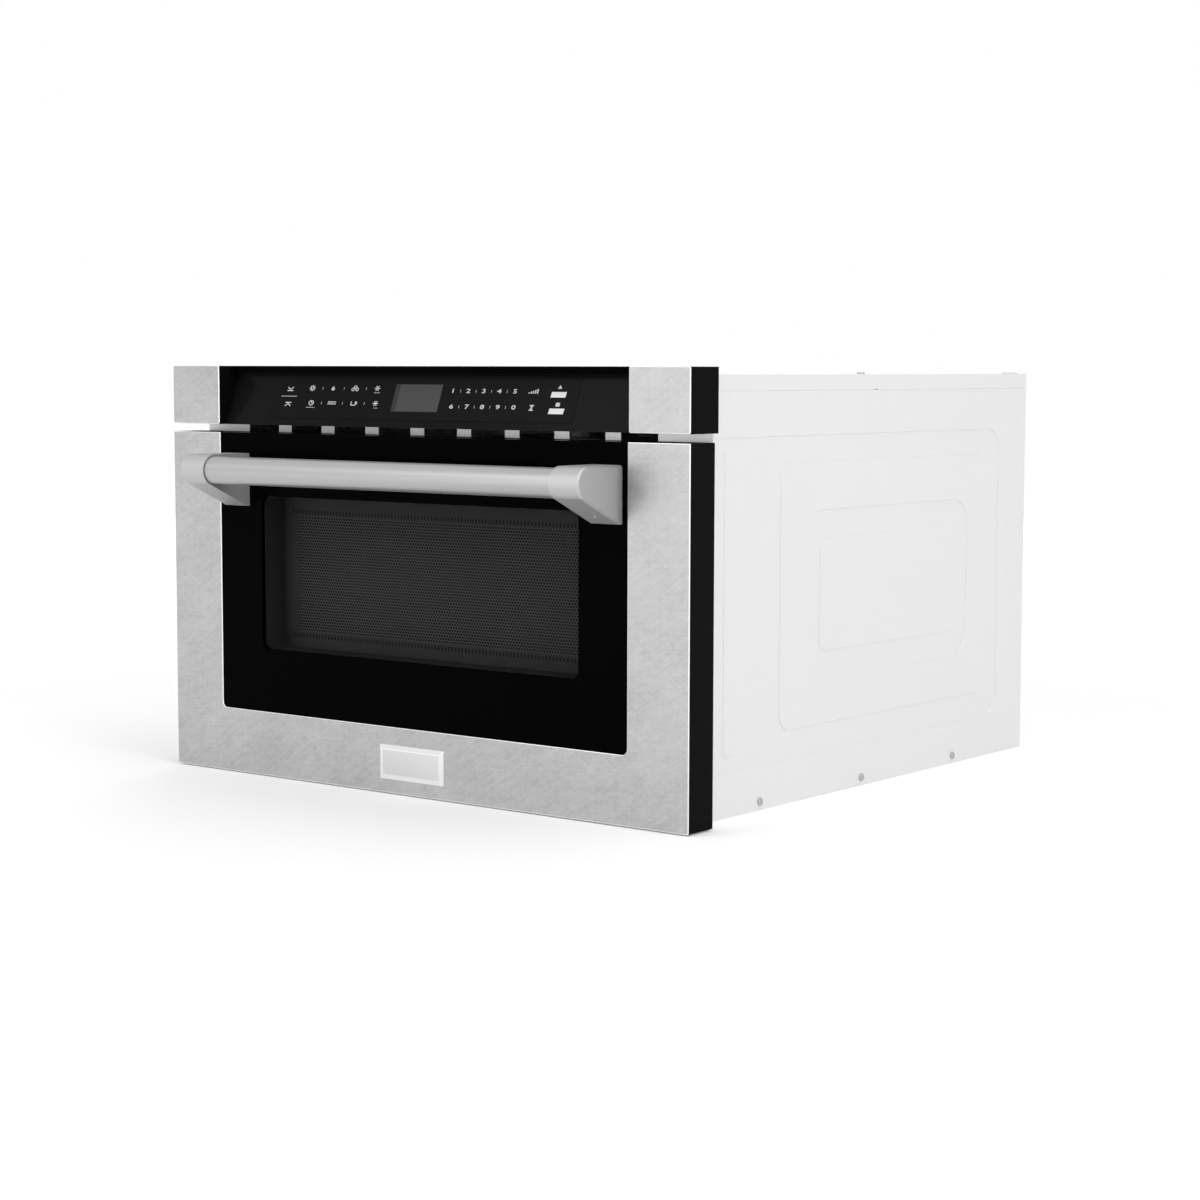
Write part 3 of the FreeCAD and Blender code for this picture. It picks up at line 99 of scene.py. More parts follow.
class ScreenSettings(bpy.types.PropertyGroup):
    enamel_color: FloatVectorProperty(
        name="Enamel", description="Colour of the screen's border", subtype="COLOR",
        default=(0.028, 0.028, 0.028))
    web_color: FloatVectorProperty(
        name="Web", description="Colour between the holes of the mesh", subtype="COLOR",
        default=(0.056, 0.056, 0.056))
    hole_pitch: FloatProperty(
        name="Hole pitch", description="Distance between the holes", default=3.1 * MM, unit="LENGTH")
    slit_pitch: FloatProperty(
        name="Slit pitch", description="Distance between the slits", default=4.0 * MM, unit="LENGTH")
    slit_wide: FloatProperty(
        name="Slit width", description="Width of a slit", default=1.7 * MM, unit="LENGTH")
    slit_tall: FloatProperty(
        name="Slit height", description="Height of a slit", default=3.8 * MM, unit="LENGTH")


class PrintSettings(bpy.types.PropertyGroup):
    mark_color: FloatVectorProperty(
        name="Marks", description="Colour of the printed marks", subtype="COLOR",
        default=(0.62, 0.62, 0.62))
    digit_tall: FloatProperty(
        name="Digit height", description="Height of the key numbers", default=4.1 * MM, unit="LENGTH")
    digit_stretch: FloatProperty(
        name="Digit stretch", description="Width of the key numbers over their usual width",
        default=1.75, min=0.5)
    line_wide: FloatProperty(
        name="Line", description="Width of a drawn line", default=0.68 * MM, unit="LENGTH")


class StageSettings(bpy.types.PropertyGroup):
    floor_color: FloatVectorProperty(
        name="Floor", description="Colour of the floor", subtype="COLOR", default=(0.90, 0.90, 0.90))
    sky_level: FloatProperty(
        name="Sky", description="Light from all round", default=0.62, min=0.0)
    lamp_watts: FloatProperty(
        name="Lamps", description="Power of a soft lamp", default=26.0, min=0.0, unit="POWER")


# ---------------------------------------------------------------- node trees

NODES_IN_A_ROW = 8
NODE_STEP = (220, -260)


class Graph:
    """A node tree that is filled one node at a time."""

    def __init__(self, tree):
        self.tree = tree
        tree.nodes.clear()

    def add(self, kind, sockets=None, **settings):
        made = self.tree.nodes.new(kind)
        row, column = divmod(len(self.tree.nodes), NODES_IN_A_ROW)
        made.location = (NODE_STEP[0] * column, NODE_STEP[1] * row)
        for name, value in settings.items():
            setattr(made, name, value)
        for name, value in (sockets or {}).items():
            self.feed(made.inputs[name], value)
        return made

    def feed(self, socket, value):
        if isinstance(value, bpy.types.NodeSocket):
            self.tree.links.new(value, socket)
        else:
            socket.default_value = value

    def math(self, operation, first, second=0.0, third=0.0):
        made = self.add("ShaderNodeMath", {0: first, 1: second, 2: third}, operation=operation)
        return made.outputs[0]

    def vector(self, operation, first, second=(0, 0, 0), third=(0, 0, 0)):
        made = self.add("ShaderNodeVectorMath", {0: first, 1: second, 2: third}, operation=operation)
        return made.outputs["Value" if operation in ("LENGTH", "DOT_PRODUCT") else "Vector"]

    def ramp(self, value, low, high, start=0.0, end=1.0):
        """Map a value from one range to another, held at both ends."""
        sockets = {"Value": value, "From Min": low, "From Max": high, "To Min": start, "To Max": end}
        return self.add("ShaderNodeMapRange", sockets, clamp=True).outputs["Result"]

    def place(self):
        """The piece's own coordinates."""
        return self.add("ShaderNodeTexCoord").outputs["Object"]

    def streaks(self, turn, scale, detail=3.0):
        """Noise turned in the upright plane and stretched."""
        turned = self.add("ShaderNodeMapping", {"Vector": self.place(), "Rotation": (0, turn, 0)})
        pulled = self.vector("MULTIPLY", turned.outputs["Vector"], scale)
        noise = self.add("ShaderNodeTexNoise", {"Vector": pulled, "Scale": 1.0, "Detail": detail})
        return noise.outputs["Fac"]

    def clouds(self, scale, detail):
        """Slow noise about nought."""
        return self.math("SUBTRACT", self.streaks(0.0, (scale, scale, scale), detail), 0.5)

    def shade(self, color, amount):
        """Brighten or darken a colour by a share of itself."""
        value = self.math("ADD", amount, 1.0)
        sockets = {"Color": color, "Value": value}
        return self.add("ShaderNodeHueSaturation", sockets).outputs["Color"]

    def close(self, kind, shader):
        """Lead a shader to the tree's output."""
        self.add(kind, {"Surface": shader})

    def group(self, name, sockets):
        made = self.add("ShaderNodeGroup", node_tree=bpy.data.node_groups[name])
        for label, value in sockets.items():
            self.feed(made.inputs[label], value)
        return made


def node_group(name, inputs, outputs, fill):
    """A shader node group with named sockets, filled by a function of its graph and its inputs."""
    tree = bpy.data.node_groups.new(name, "ShaderNodeTree")
    for label, kind, value in inputs:
        socket = tree.interface.new_socket(label, in_out="INPUT", socket_type="NodeSocket" + kind)
        socket.default_value = value
    for label, kind in outputs:
        tree.interface.new_socket(label, in_out="OUTPUT", socket_type="NodeSocket" + kind)
    graph = Graph(tree)
    entry = graph.add("NodeGroupInput")
    results = fill(graph, entry.outputs)
    leave = graph.add("NodeGroupOutput")
    for label, socket in results.items():
        graph.feed(leave.inputs[label], socket)


GREY = (0.5, 0.5, 0.5, 1.0)


def worked(graph, given, tone, rough, height):
    """A surface whose colour follows one pattern and its roughness another."""
    change = graph.math("MULTIPLY", tone, given["Contrast"])
    spread = graph.math("MULTIPLY_ADD", rough, given["Roughness spread"], given["Roughness"])
    return {"Color": graph.shade(given["Color"], change), "Roughness": spread, "Height": height}


def cross_brushing(graph, given):
    """Short fine scratches in several directions over slow clouds, as on a distressed steel sheet."""
    layers = [
        (math.radians(2), (48, 60, 620), 0.34),
        (math.radians(88), (40, 60, 560), 0.24),
        (math.radians(32), (56, 60, 500), 0.44),
        (math.radians(-41), (70, 60, 520), 0.30),
    ]
    total = graph.math("MULTIPLY_ADD", graph.streaks(0.0, (16, 16, 16), 5.0), 0.40, -0.20)
    for turn, scale, weight in layers:
        lines = graph.math("MULTIPLY_ADD", graph.streaks(turn, scale), weight, -weight / 2)
        total = graph.math("ADD", total, lines)
    return worked(graph, given, total, total, total)


def straight_brushing(graph, given):
    """Fine lines along X, as on a drawn tube or a rolled sheet."""
    lines = graph.math("SUBTRACT", graph.streaks(0.0, (5, 900, 900)), 0.5)
    total = graph.math("MULTIPLY_ADD", graph.clouds(22, 4.0), 0.4, lines)
    return worked(graph, given, total, total, lines)


def grained(graph, given):
    """Small bumps and slow clouds, as on paint, plating and moulded plastic."""
    size = graph.math("DIVIDE", 1.0, given["Grain size"])
    noise = graph.add("ShaderNodeTexNoise", {"Vector": graph.place(), "Scale": size, "Detail": 2.0})
    grain = noise.outputs["Fac"]
    clouds = graph.clouds(9, 4.0)
    return worked(graph, given, graph.math("MULTIPLY_ADD", grain, 0.4, clouds), clouds, grain)


def edge_highlight_and_rubbing(graph, given):
    """Where an edge turns away within a radius, broken up a little by noise, a lighter colour is laid:
    partly wear, partly a painted highlight of the edge.
    """
    rounded = graph.add("ShaderNodeBevel", {"Radius": given["Radius"]}, samples=4).outputs["Normal"]
    flat = graph.add("ShaderNodeNewGeometry").outputs["Normal"]
    away = graph.math("SUBTRACT", 1.0, graph.vector("DOT_PRODUCT", rounded, flat))
    rubbed_and_highlit = graph.math("MULTIPLY_ADD", graph.streaks(0.0, (120, 120, 120)), 0.05, away)
    edge = graph.ramp(rubbed_and_highlit, 0.03, 0.16)
    mixed = graph.add("ShaderNodeMix", {"Factor": graph.math("MULTIPLY", edge, given["Amount"]),
                                        "A": given["Color"], "B": given["Worn and highlight color"]}, data_type="RGBA")
    return {"Color": mixed.outputs["Result"], "Edge": edge}


HOLE_OUTSIDE, HOLE_INSIDE = 0.42, 0.34  # where a hole's soft edge ends and starts, in pitches
FIELD_FADE = 0.3 * MM


def perforation(graph, given):
    """Round holes on a hexagonal lattice in the upright plane."""
    inverse = graph.math("DIVIDE", 1.0, given["Pitch"])
    scaled = graph.add("ShaderNodeVectorMath", {0: graph.place(), "Scale": inverse}, operation="SCALE")
    upright = graph.vector("MULTIPLY", scaled.outputs["Vector"], (1, 0, 1))
    row = math.sqrt(3) / 2
    half = (0.5, 1.0, row)
    nearest = []
    for shift in ((0, 0, 0), (0.5, 0, row)):
        moved = graph.vector("ADD", upright, shift)
        cell = graph.vector("WRAP", moved, half, tuple(-edge for edge in half))
        nearest.append(graph.vector("LENGTH", cell))
    distance = graph.math("MINIMUM", *nearest)
    return {"Hole": graph.ramp(distance, HOLE_OUTSIDE, HOLE_INSIDE)}


def field(graph, given):
    """One inside a rectangle of the upright plane with round corners, nought outside it."""
    from_middle = graph.vector("ABSOLUTE", graph.vector("SUBTRACT", graph.place(), given["Middle"]))
    past = graph.vector("SUBTRACT", from_middle, given["Half size"])
    outside = graph.vector("MULTIPLY", graph.vector("MAXIMUM", past, (0, 0, 0)), (1, 0, 1))
    reach = graph.vector("LENGTH", outside)
    return {"Inside": graph.ramp(reach, graph.math("ADD", given["Corner"], FIELD_FADE), given["Corner"])}


def build_groups():
    surface_inputs = [("Color", "Color", GREY), ("Contrast", "Float", 0.1),
                      ("Roughness", "Float", 0.4), ("Roughness spread", "Float", 0.1)]
    surface_outputs = [("Color", "Color"), ("Roughness", "Float"), ("Height", "Float")]
    node_group("Cross brushing", surface_inputs, surface_outputs, cross_brushing)
    node_group("Straight brushing", surface_inputs, surface_outputs, straight_brushing)
    node_group("Grain", surface_inputs + [("Grain size", "Float", 0.001)], surface_outputs, grained)
    # Lighter edge colour: partly wear, partly a painted highlight.
    rubbing_and_highlight_inputs = [("Color", "Color", GREY), ("Worn and highlight color", "Color", GREY), ("Amount", "Float", 0.5),
                   ("Radius", "Float", 0.0008)]
    node_group("Edge highlight and rubbing", rubbing_and_highlight_inputs, [("Color", "Color"), ("Edge", "Float")], edge_highlight_and_rubbing)
    node_group("Perforation", [("Pitch", "Float", 0.0027)], [("Hole", "Float")], perforation)
    field_inputs = [("Middle", "Vector", (0, 0, 0)), ("Half size", "Vector", (1, 1, 1)),
                    ("Corner", "Float", 0.001)]
    node_group("Field", field_inputs, [("Inside", "Float")], field)


def finish_name(name):
    """The material of a finish, kept apart from the frame's own material of the same slot."""
    return name + "_finish"


def shader(name, surface, wear_and_highlight=None, bump=None, **principled):
    """A material of one Principled shader over a surface group and, if asked for, edge wear with a
    painted edge highlight.
    """
    made = bpy.data.materials.new(finish_name(name))
    made.use_nodes = True
    graph = Graph(made.node_tree)
    group_name, values = surface
    skin = graph.group(group_name, values)
    color = skin.outputs["Color"]
    # Lighter edges: partly wear, partly a painted highlight.
    if wear_and_highlight:
        worn_and_highlight, amount, radius = wear_and_highlight
        edge = {"Color": color, "Worn and highlight color": (*worn_and_highlight, 1.0), "Amount": amount, "Radius": radius}
        color = graph.group("Edge highlight and rubbing", edge).outputs["Color"]
    sockets = {"Base Color": color, "Roughness": skin.outputs["Roughness"]}
    if bump:
        strength, depth = bump
        relief = {"Height": skin.outputs["Height"], "Strength": strength, "Distance": depth}
        sockets["Normal"] = graph.add("ShaderNodeBump", relief).outputs["Normal"]
    sockets.update({label.replace("_", " "): value for label, value in principled.items()})
    body = graph.add("ShaderNodeBsdfPrincipled", sockets)
    graph.close("ShaderNodeOutputMaterial", body.outputs["BSDF"])
    return graph, body


def surface(name, color, roughness, contrast=0.1, spread=0.1, **more):
    """A surface group's name and its values, as the shader function takes them."""
    values = {"Color": (*color, 1.0), "Contrast": contrast, "Roughness": roughness,
              "Roughness spread": spread}
    values.update({label.replace("_", " "): value for label, value in more.items()})
    return name, values


# ---------------------------------------------------------------- finishes

def grey(level):
    return (level, level, level)


def brushed_steel(steel):
    look = surface("Cross brushing", steel.steel_color, 0.48, contrast=0.75, spread=0.25)
    # Near-white edges: wear and a painted highlight.
    shader("brushed_steel", look, wear_and_highlight=(grey(0.95), 0.7, 0.5 * MM), bump=(0.25, 0.05 * MM), Metallic=1.0)


def bright_steel(steel):
    look = surface("Straight brushing", grey(0.60), 0.30, contrast=0.05, spread=0.1)
    # Near-white edges: wear and a painted highlight.
    shader("bright_steel", look, wear_and_highlight=(grey(0.98), 0.6, 0.4 * MM), bump=(0.08, 0.02 * MM), Metallic=1.0)


def satin_handle(steel):
    look = surface("Straight brushing", steel.tube_color, 0.36, contrast=0.06, spread=0.12)
    shader("satin_handle", look, bump=(0.08, 0.02 * MM), Metallic=0.6)


def cast_handle(steel):
    look = surface("Grain", steel.casting_color, 0.48, contrast=0.05, spread=0.1, Grain_size=0.6 * MM)
    # Lighter edges: wear and a painted highlight.
    shader("cast_handle", look, wear_and_highlight=(grey(0.7), 0.5, 0.8 * MM), bump=(0.06, 0.04 * MM), Metallic=0.55)


def black_coat(black):
    look = surface("Grain", black.coat_color, 0.42, contrast=0.3, spread=0.12, Grain_size=0.5 * MM)
    # Lighter edges on the black: wear and a painted highlight.
    wear_and_highlight = (grey(0.03), 0.6, 0.5 * MM)
    shader("black_coat", look, wear_and_highlight=wear_and_highlight, bump=(0.08, 0.03 * MM), Specular_IOR_Level=0.015)


def panel_glass(black):
    look = surface("Grain", grey(0.0075), 0.16, contrast=0.2, spread=0.08, Grain_size=40 * MM)
    # Lighter edges on the glass: wear and a painted highlight.
    shader("panel_glass", look, wear_and_highlight=(grey(0.05), 0.5, 0.4 * MM), Specular_IOR_Level=0.03)


def window_glass(black):
    """Glass that is printed black round a clear window."""
    look = surface("Grain", black.glass_color, 0.05, contrast=0.2, spread=0.05, Grain_size=60 * MM)
    graph, body = shader("window_glass", look, Specular_IOR_Level=0.01)
    low, high = inside_screen(*WINDOW_INSET)
    half = (high - low) / 2 - Vector((WINDOW_CORNER, 0, WINDOW_CORNER))
    clear = {"Middle": (low + high) / 2, "Half size": half, "Corner": WINDOW_CORNER}
    inside = graph.group("Field", clear).outputs["Inside"]
    graph.feed(body.inputs["Alpha"], graph.math("SUBTRACT", 1.0, inside))


# The walls behind the window are lighter than the black coat: a painted sheen of the glass in front of
# them.
def recess_black_with_glass_sheen(black):
    look = surface("Grain", black.recess_color_with_glass_sheen, 0.55, contrast=0.2, spread=0.1, Grain_size=2 * MM)
    shader("recess_black_with_glass_sheen", look, bump=(0.08, 0.03 * MM), Specular_IOR_Level=0.05)


def tint(graph, body, mask, color):
    """Lay a colour over a shader's base colour where a mask says so."""
    skin = body.inputs["Base Color"].links[0].from_socket
    mixed = graph.add("ShaderNodeMix", {"Factor": mask, "A": skin, "B": color}, data_type="RGBA")
    graph.feed(body.inputs["Base Color"], mixed.outputs["Result"])


# Near-black painted in the holes: the shade of the cavity behind the screen.
HOLE_SHADE_COLOR = grey(0.004)


def screen_enamel(screen):
    """Dark enamel with round holes over the middle field of the screen; the holes are painted near-black,
    the shade of the cavity behind them.
    """
    look = surface("Grain", screen.enamel_color, 0.6, contrast=0.12, spread=0.1, Grain_size=8 * MM)
    graph, body = shader("screen_enamel", look, Specular_IOR_Level=0.05)
    holes = graph.group("Perforation", {"Pitch": screen.hole_pitch}).outputs["Hole"]
    low, high = inside_screen(*FIELD_INSET)
    reach = {"Middle": (low + high) / 2, "Half size": (high - low) / 2, "Corner": 0.1 * MM}
    inside = graph.group("Field", reach).outputs["Inside"]
    mask = graph.math("MULTIPLY", holes, inside)
    tint(graph, body, inside, (*screen.web_color, 1.0))
    # painted shade in the holes
    tint(graph, body, mask, (*HOLE_SHADE_COLOR, 1.0))
    sunk = {"Height": graph.math("SUBTRACT", 1.0, mask), "Strength": 0.15, "Distance": 0.2 * MM}
    graph.feed(body.inputs["Normal"], graph.add("ShaderNodeBump", sunk).outputs["Normal"])


def chassis_sheet(steel):
    look = surface("Grain", steel.chassis_color, 0.45, contrast=0.035, spread=0.1, Grain_size=2.5 * MM)
    # Lighter edges: wear and a painted highlight.
    wear_and_highlight = (grey(0.9), 0.3, 0.6 * MM)
    shader("chassis_sheet", look, wear_and_highlight=wear_and_highlight, bump=(0.05, 0.05 * MM), Metallic=0.15,
           Specular_IOR_Level=0.3)


def print_white(marks):
    look = surface("Grain", marks.mark_color, 0.5, contrast=0.05, spread=0.05, Grain_size=0.3 * MM)
    shader("print_white", look, Specular_IOR_Level=0.2)


PLAIN_FINISHES = [
    # name, group, colour, roughness, contrast, grain size (mm), metallic, specular level
    # light steel for rounded edge faces: a painted highlight
    ("steel_edge_highlight", "Grain", (0.86, 0.86, 0.86), 0.30, 0.04, 3.0, 1.0, 0.5),
    ("cavity_steel", "Straight brushing", (0.60, 0.60, 0.60), 0.32, 0.10, None, 1.0, 0.5),
    ("aluminium", "Straight brushing", (0.66, 0.66, 0.67), 0.38, 0.10, None, 1.0, 0.5),
    ("zinc_steel", "Grain", (0.60, 0.61, 0.62), 0.34, 0.14, 3.0, 1.0, 0.5),
    ("plated_flange", "Grain", (0.62, 0.62, 0.62), 0.32, 0.06, 3.0, 0.8, 0.5),
    ("screw_steel", "Grain", (0.40, 0.40, 0.40), 0.30, 0.10, 1.0, 1.0, 0.5),
    ("polished_steel", "Straight brushing", (0.76, 0.76, 0.76), 0.16, 0.03, None, 1.0, 0.5),
    ("notch_shade", "Grain", (0.22, 0.22, 0.22), 0.60, 0.10, 1.0, 0.0, 0.2),
    ("mica_sheet", "Grain", (0.52, 0.46, 0.34), 0.60, 0.30, 1.5, 0.0, 0.3),
    ("moulded_black", "Grain", (0.020, 0.020, 0.022), 0.50, 0.30, 0.5, 0.0, 0.35),
    ("moulded_white", "Grain", (0.62, 0.62, 0.60), 0.45, 0.06, 0.6, 0.0, 0.4),
    ("motor_case", "Grain", (0.42, 0.43, 0.44), 0.40, 0.12, 2.0, 0.9, 0.5),
    ("core_iron", "Straight brushing", (0.08, 0.08, 0.085), 0.50, 0.50, None, 0.6, 0.4),
    ("copper_winding", "Straight brushing", (0.50, 0.20, 0.08), 0.35, 0.60, None, 0.8, 0.5),
    ("circuit_board", "Grain", (0.03, 0.16, 0.07), 0.45, 0.30, 4.0, 0.0, 0.4),
    # near-black blocks: painted shade in slits and in the crease at the tube's joints
    ("slit_and_crease_shade", "Grain", (0.004, 0.004, 0.004), 0.70, 0.20, 1.0, 0.0, 0.1),
    ("touch_film", "Grain", (0.0070, 0.0070, 0.0070), 0.22, 0.20, 30.0, 0.0, 0.03),
    ("film_edge", "Grain", (0.0018, 0.0018, 0.0018), 0.30, 0.20, 5.0, 0.0, 0.02),
    ("display_grey", "Grain", (0.070, 0.070, 0.070), 0.22, 0.12, 2.0, 0.0, 0.06),
    ("display_dark", "Grain", (0.040, 0.040, 0.040), 0.22, 0.12, 2.0, 0.0, 0.06),
    ("block_white", "Grain", (0.78, 0.78, 0.78), 0.50, 0.05, 1.0, 0.0, 0.20),
]


def plain_finishes():
    for name, group, color, rough, contrast, grain, metallic, level in PLAIN_FINISHES:
        more = {"Grain_size": grain * MM} if grain else {}
        look = surface(group, color, rough, contrast=contrast, spread=0.1, **more)
        shader(name, look, bump=(0.08, 0.04 * MM), Metallic=metallic, Specular_IOR_Level=level)


def tray_glass():
    look = surface("Grain", (0.85, 0.88, 0.87), 0.05, contrast=0.02, spread=0.03, Grain_size=30 * MM)
    shader("tray_glass", look, Transmission_Weight=0.8, IOR=1.45)


NODE_FINISHES = {
    "bright_steel": ["badge_plate"],
    "satin_handle": ["handle_tube"],
    "cast_handle": ["handle_bracket_left", "handle_bracket_right"],
    "brushed_steel": ["front_skin", "end_cap_left", "end_cap_right"],
    "black_coat": ["drawer_frame", "control_housing"],
    "panel_glass": ["control_glass"],
    "window_glass": ["front_glass"],
    "display_grey": ["display_module"],
    "chassis_sheet": ["side_panel_left", "side_panel_right", "top_cover", "base_plate",
                      "rear_panel"],
    "plated_flange": ["front_frame"],
    "cavity_steel": ["cavity_shell", "drawer_tub", "choke_frame", "stirrer_dome"],
    "screen_enamel": ["window_screen"],
    "tray_glass": ["floor_glass"],
    "mica_sheet": ["stirrer_cover"],
    "aluminium": ["waveguide", "stirrer_blade", "magnetron"],
    "zinc_steel": ["outer_rail_left", "outer_rail_right", "middle_rail_left", "middle_rail_right",
                   "inner_rail_left", "inner_rail_right", "chassis_screws"],
    "polished_steel": ["handle_screws"],
    "moulded_black": ["pinion", "fan_blade", "fan_shroud", "interlock_switches", "cord_gland"],
    "moulded_white": ["drive_rack", "rack_guide", "latch_prongs"],
    "motor_case": ["drive_motor", "stirrer_motor", "fan_motor", "hv_capacitor", "oven_lamp"],
    "core_iron": ["transformer_core"],
    "copper_winding": ["transformer_coils"],
    "circuit_board": ["control_board"],
}


# ---------------------------------------------------------------- meshes

def shape_of(node):
    """A bmesh of a node's own shape, with its loose triangles merged into flat faces."""
    bm = bmesh.new()
    bm.from_mesh(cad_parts[node].data)
    bmesh.ops.remove_doubles(bm, verts=bm.verts, dist=0.004 * MM)
    bmesh.ops.dissolve_limit(bm, angle_limit=MERGED_UNDER, verts=bm.verts, edges=bm.edges)
    return bm


def bevel(bm, edges, width, steps, **more):
    return bmesh.ops.bevel(bm, geom=edges, offset=width, offset_type="OFFSET", affect="EDGES",
                           segments=steps, profile=0.5, material=-1, **more)


def round_edges(bm, width, steps, test=None):
    """Round every sharp edge that passes a test."""
    chosen = []
    for edge in bm.edges:
        sharp = len(edge.link_faces) == 2 and edge.calc_face_angle(0.0) > ROUNDED_OVER
        if sharp and (test is None or test(edge)):
            chosen.append(edge)
    bevel(bm, chosen, width, steps, clamp_overlap=True)


def place_object(name, data):
    thing = bpy.data.objects.new(name, data)
    bpy.context.scene.collection.objects.link(thing)
    return thing


def mesh_of(name, bm):
    """A mesh of what a bmesh holds. The bmesh is freed."""
    mesh = bpy.data.meshes.new(name)
    bm.to_mesh(mesh)
    bm.free()
    return mesh


def piece(name, bm, finish, body, slot, *replaced):
    """Turn a bmesh into a piece that rides on a body, and may stand for nodes of the frame."""
    mesh = mesh_of(name, bm)
    mesh.materials.append(bpy.data.materials[finish_name(finish)])
    mesh.shade_smooth()
    mesh.set_sharp_from_angle(angle=SMOOTH_UNDER)
    thing = place_object(name, mesh)
    even = thing.modifiers.new("Even normals", "WEIGHTED_NORMAL")
    even.keep_sharp = True
    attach(thing, body)
    if replaced:
        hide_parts(*replaced)
    return thing


def rounded_node(name, node, finish, body, slot, width, steps, test=None):
    """A node's own shape with its edges rounded, standing for the node."""
    bm = shape_of(node)
    round_edges(bm, width, steps, test)
    return piece(name, bm, finish, body, slot, node)


def spin_section(bm, section, center, axis, angle, steps, closed):
    """Spin a flat section about a centre. A closed ring's ends are joined."""
    edges = dict.fromkeys(edge for vert in section for edge in vert.link_edges)
    faces = dict.fromkeys(face for vert in section for face in vert.link_faces)
    bmesh.ops.spin(bm, geom=[*section, *edges, *faces], cent=center, axis=axis, angle=angle,
                   steps=steps, use_merge=closed)


def second_finish(thing, finish, test):
    """Give the faces of a piece that pass a test a finish of their own."""
    thing.data.materials.append(bpy.data.materials[finish_name(finish)])
    for face in thing.data.polygons:
        if test(face):
            face.material_index = 1


def block(bm, low, high):
    """Add a box between two corners."""
    low, high = Vector(low), Vector(high)
    matrix = Matrix.Translation((low + high) / 2) @ Matrix.Diagonal((*(high - low), 1.0))
    return bmesh.ops.create_cube(bm, size=1.0, matrix=matrix)["verts"]


# ---------------------------------------------------------------- places read from the frame

# Distances in from the screen's outline: at each side, below, above.
WINDOW_INSET = (6.7 * MM, 6.7 * MM, 6.7 * MM)
FIELD_INSET = (24.0 * MM, 21.7 * MM, 25.7 * MM)
RECESS_INSET = (-4.0 * MM, -4.0 * MM, -4.0 * MM)
WINDOW_CORNER = 8.0 * MM


def inside_screen(side, below, above):
    """Lowest and highest corner of a rectangle that lies in from the screen's outline."""
    low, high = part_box("window_screen")
    return low + Vector((side, 0, below)), high - Vector((side, 0, above))


# ---------------------------------------------------------------- panel print

BLOCK_SLANT = 0.10
SYMBOL_STRETCH = (1.45, 1.15)
ARC_STEP = 20.0
PRINT_LIFT = 0.12 * MM
GLASS_LOW = Vector((0.0, FRONT + 8.6 * MM, 327.9 * MM))
GLASS_TOP = Vector((0.0, FRONT + 26.6 * MM, 375.5 * MM))


def panel_matrix(lift):
    """From the plane of the leaning glass, u along it and v up it, to the frame."""
    up = (GLASS_TOP - GLASS_LOW).normalized()
    across = Vector((1, 0, 0))
    out = across.cross(up)
    place = GLASS_LOW + out * lift
    return Matrix((
        (across.x, up.x, out.x, place.x),
        (across.y, up.y, out.y, place.y),
        (across.z, up.z, out.z, place.z),
        (0, 0, 0, 1),
    ))


class Printing:
    """Thin marks drawn on the leaning glass in millimetres, u along it and v up it."""

    thick = 0.05

    def __init__(self, line):
        self.bm = bmesh.new()
        self.line = line

    def spot(self, u, v, turn=0.0):
        return Matrix.Translation((u, v, 0.0)) @ Matrix.Rotation(math.radians(turn), 4, "Z")

    def bar(self, u, v, wide, tall, turn=0.0):
        size = Matrix.Diagonal((wide, tall, self.thick, 1.0))
        return bmesh.ops.create_cube(self.bm, size=1.0, matrix=self.spot(u, v, turn) @ size)["verts"]

    def slanted_bar(self, u, v, wide, tall):
        for vert in self.bar(u, v, wide, tall):
            vert.co.x += BLOCK_SLANT * (vert.co.y - v)

    def disc(self, u, v, radius, corners=18, turn=0.0):
        bmesh.ops.create_cone(self.bm, cap_ends=True, segments=corners, radius1=radius, radius2=radius,
                              depth=self.thick, matrix=self.spot(u, v, turn))

    def arc(self, u, v, radius, start=0.0, sweep=360.0):
        """A line bent round a centre: a square section spun about it."""
        whole = sweep == 360.0
        square = Matrix.Rotation(math.radians(45), 4, "Z")
        upright = Matrix.Rotation(math.radians(90), 4, "X")
        size = Matrix.Diagonal((self.line, self.thick, 1.0, 1.0))
        place = self.spot(u, v, start) @ Matrix.Translation((radius, 0.0, 0.0)) @ upright @ size @ square
        section = bmesh.ops.create_circle(self.bm, cap_ends=not whole, segments=4, radius=math.sqrt(0.5),
                                          matrix=place)["verts"]
        steps = max(4, round(sweep / ARC_STEP))
        spin_section(self.bm, section, (u, v, 0.0), (0, 0, 1), math.radians(sweep), steps, whole)

    def stretch(self, verts, u, v):
        """Make a symbol wider and a little taller about its own place."""
        bmesh.ops.scale(self.bm, vec=(*SYMBOL_STRETCH, 1.0), space=Matrix.Translation((-u, -v, 0.0)),
                        verts=verts)

    def finish(self, name, finish, slot, lift):
        bmesh.ops.recalc_face_normals(self.bm, faces=self.bm.faces)
        lay_on_panel(name, self.bm, finish, slot, lift)


def lay_on_panel(name, bm, finish, slot, lift):
    """Move marks from the glass's own plane to the frame, and make a piece of them."""
    scale = Matrix.Diagonal((MM, MM, MM, 1.0))
    bmesh.ops.transform(bm, matrix=panel_matrix(lift) @ scale, verts=bm.verts)
    piece(name, bm, finish, "chassis", slot)


def gear(ink, u, v):
    ink.arc(u, v, 1.3)
    for turn in range(0, 360, 45):
        angle = math.radians(turn)
        ink.bar(u + 2.0 * math.cos(angle), v + 2.0 * math.sin(angle), 1.1, ink.line, turn)


def drop(ink, u, v):
    ink.disc(u, v - 0.5, 1.4)
    ink.disc(u, v + 0.7, 1.35, corners=3, turn=90)


def kernels(ink, u, v):
    for du, dv in ((-1.7, -0.8), (1.7, -0.8), (0.0, 1.1)):
        ink.arc(u + du, v + dv, 1.1)


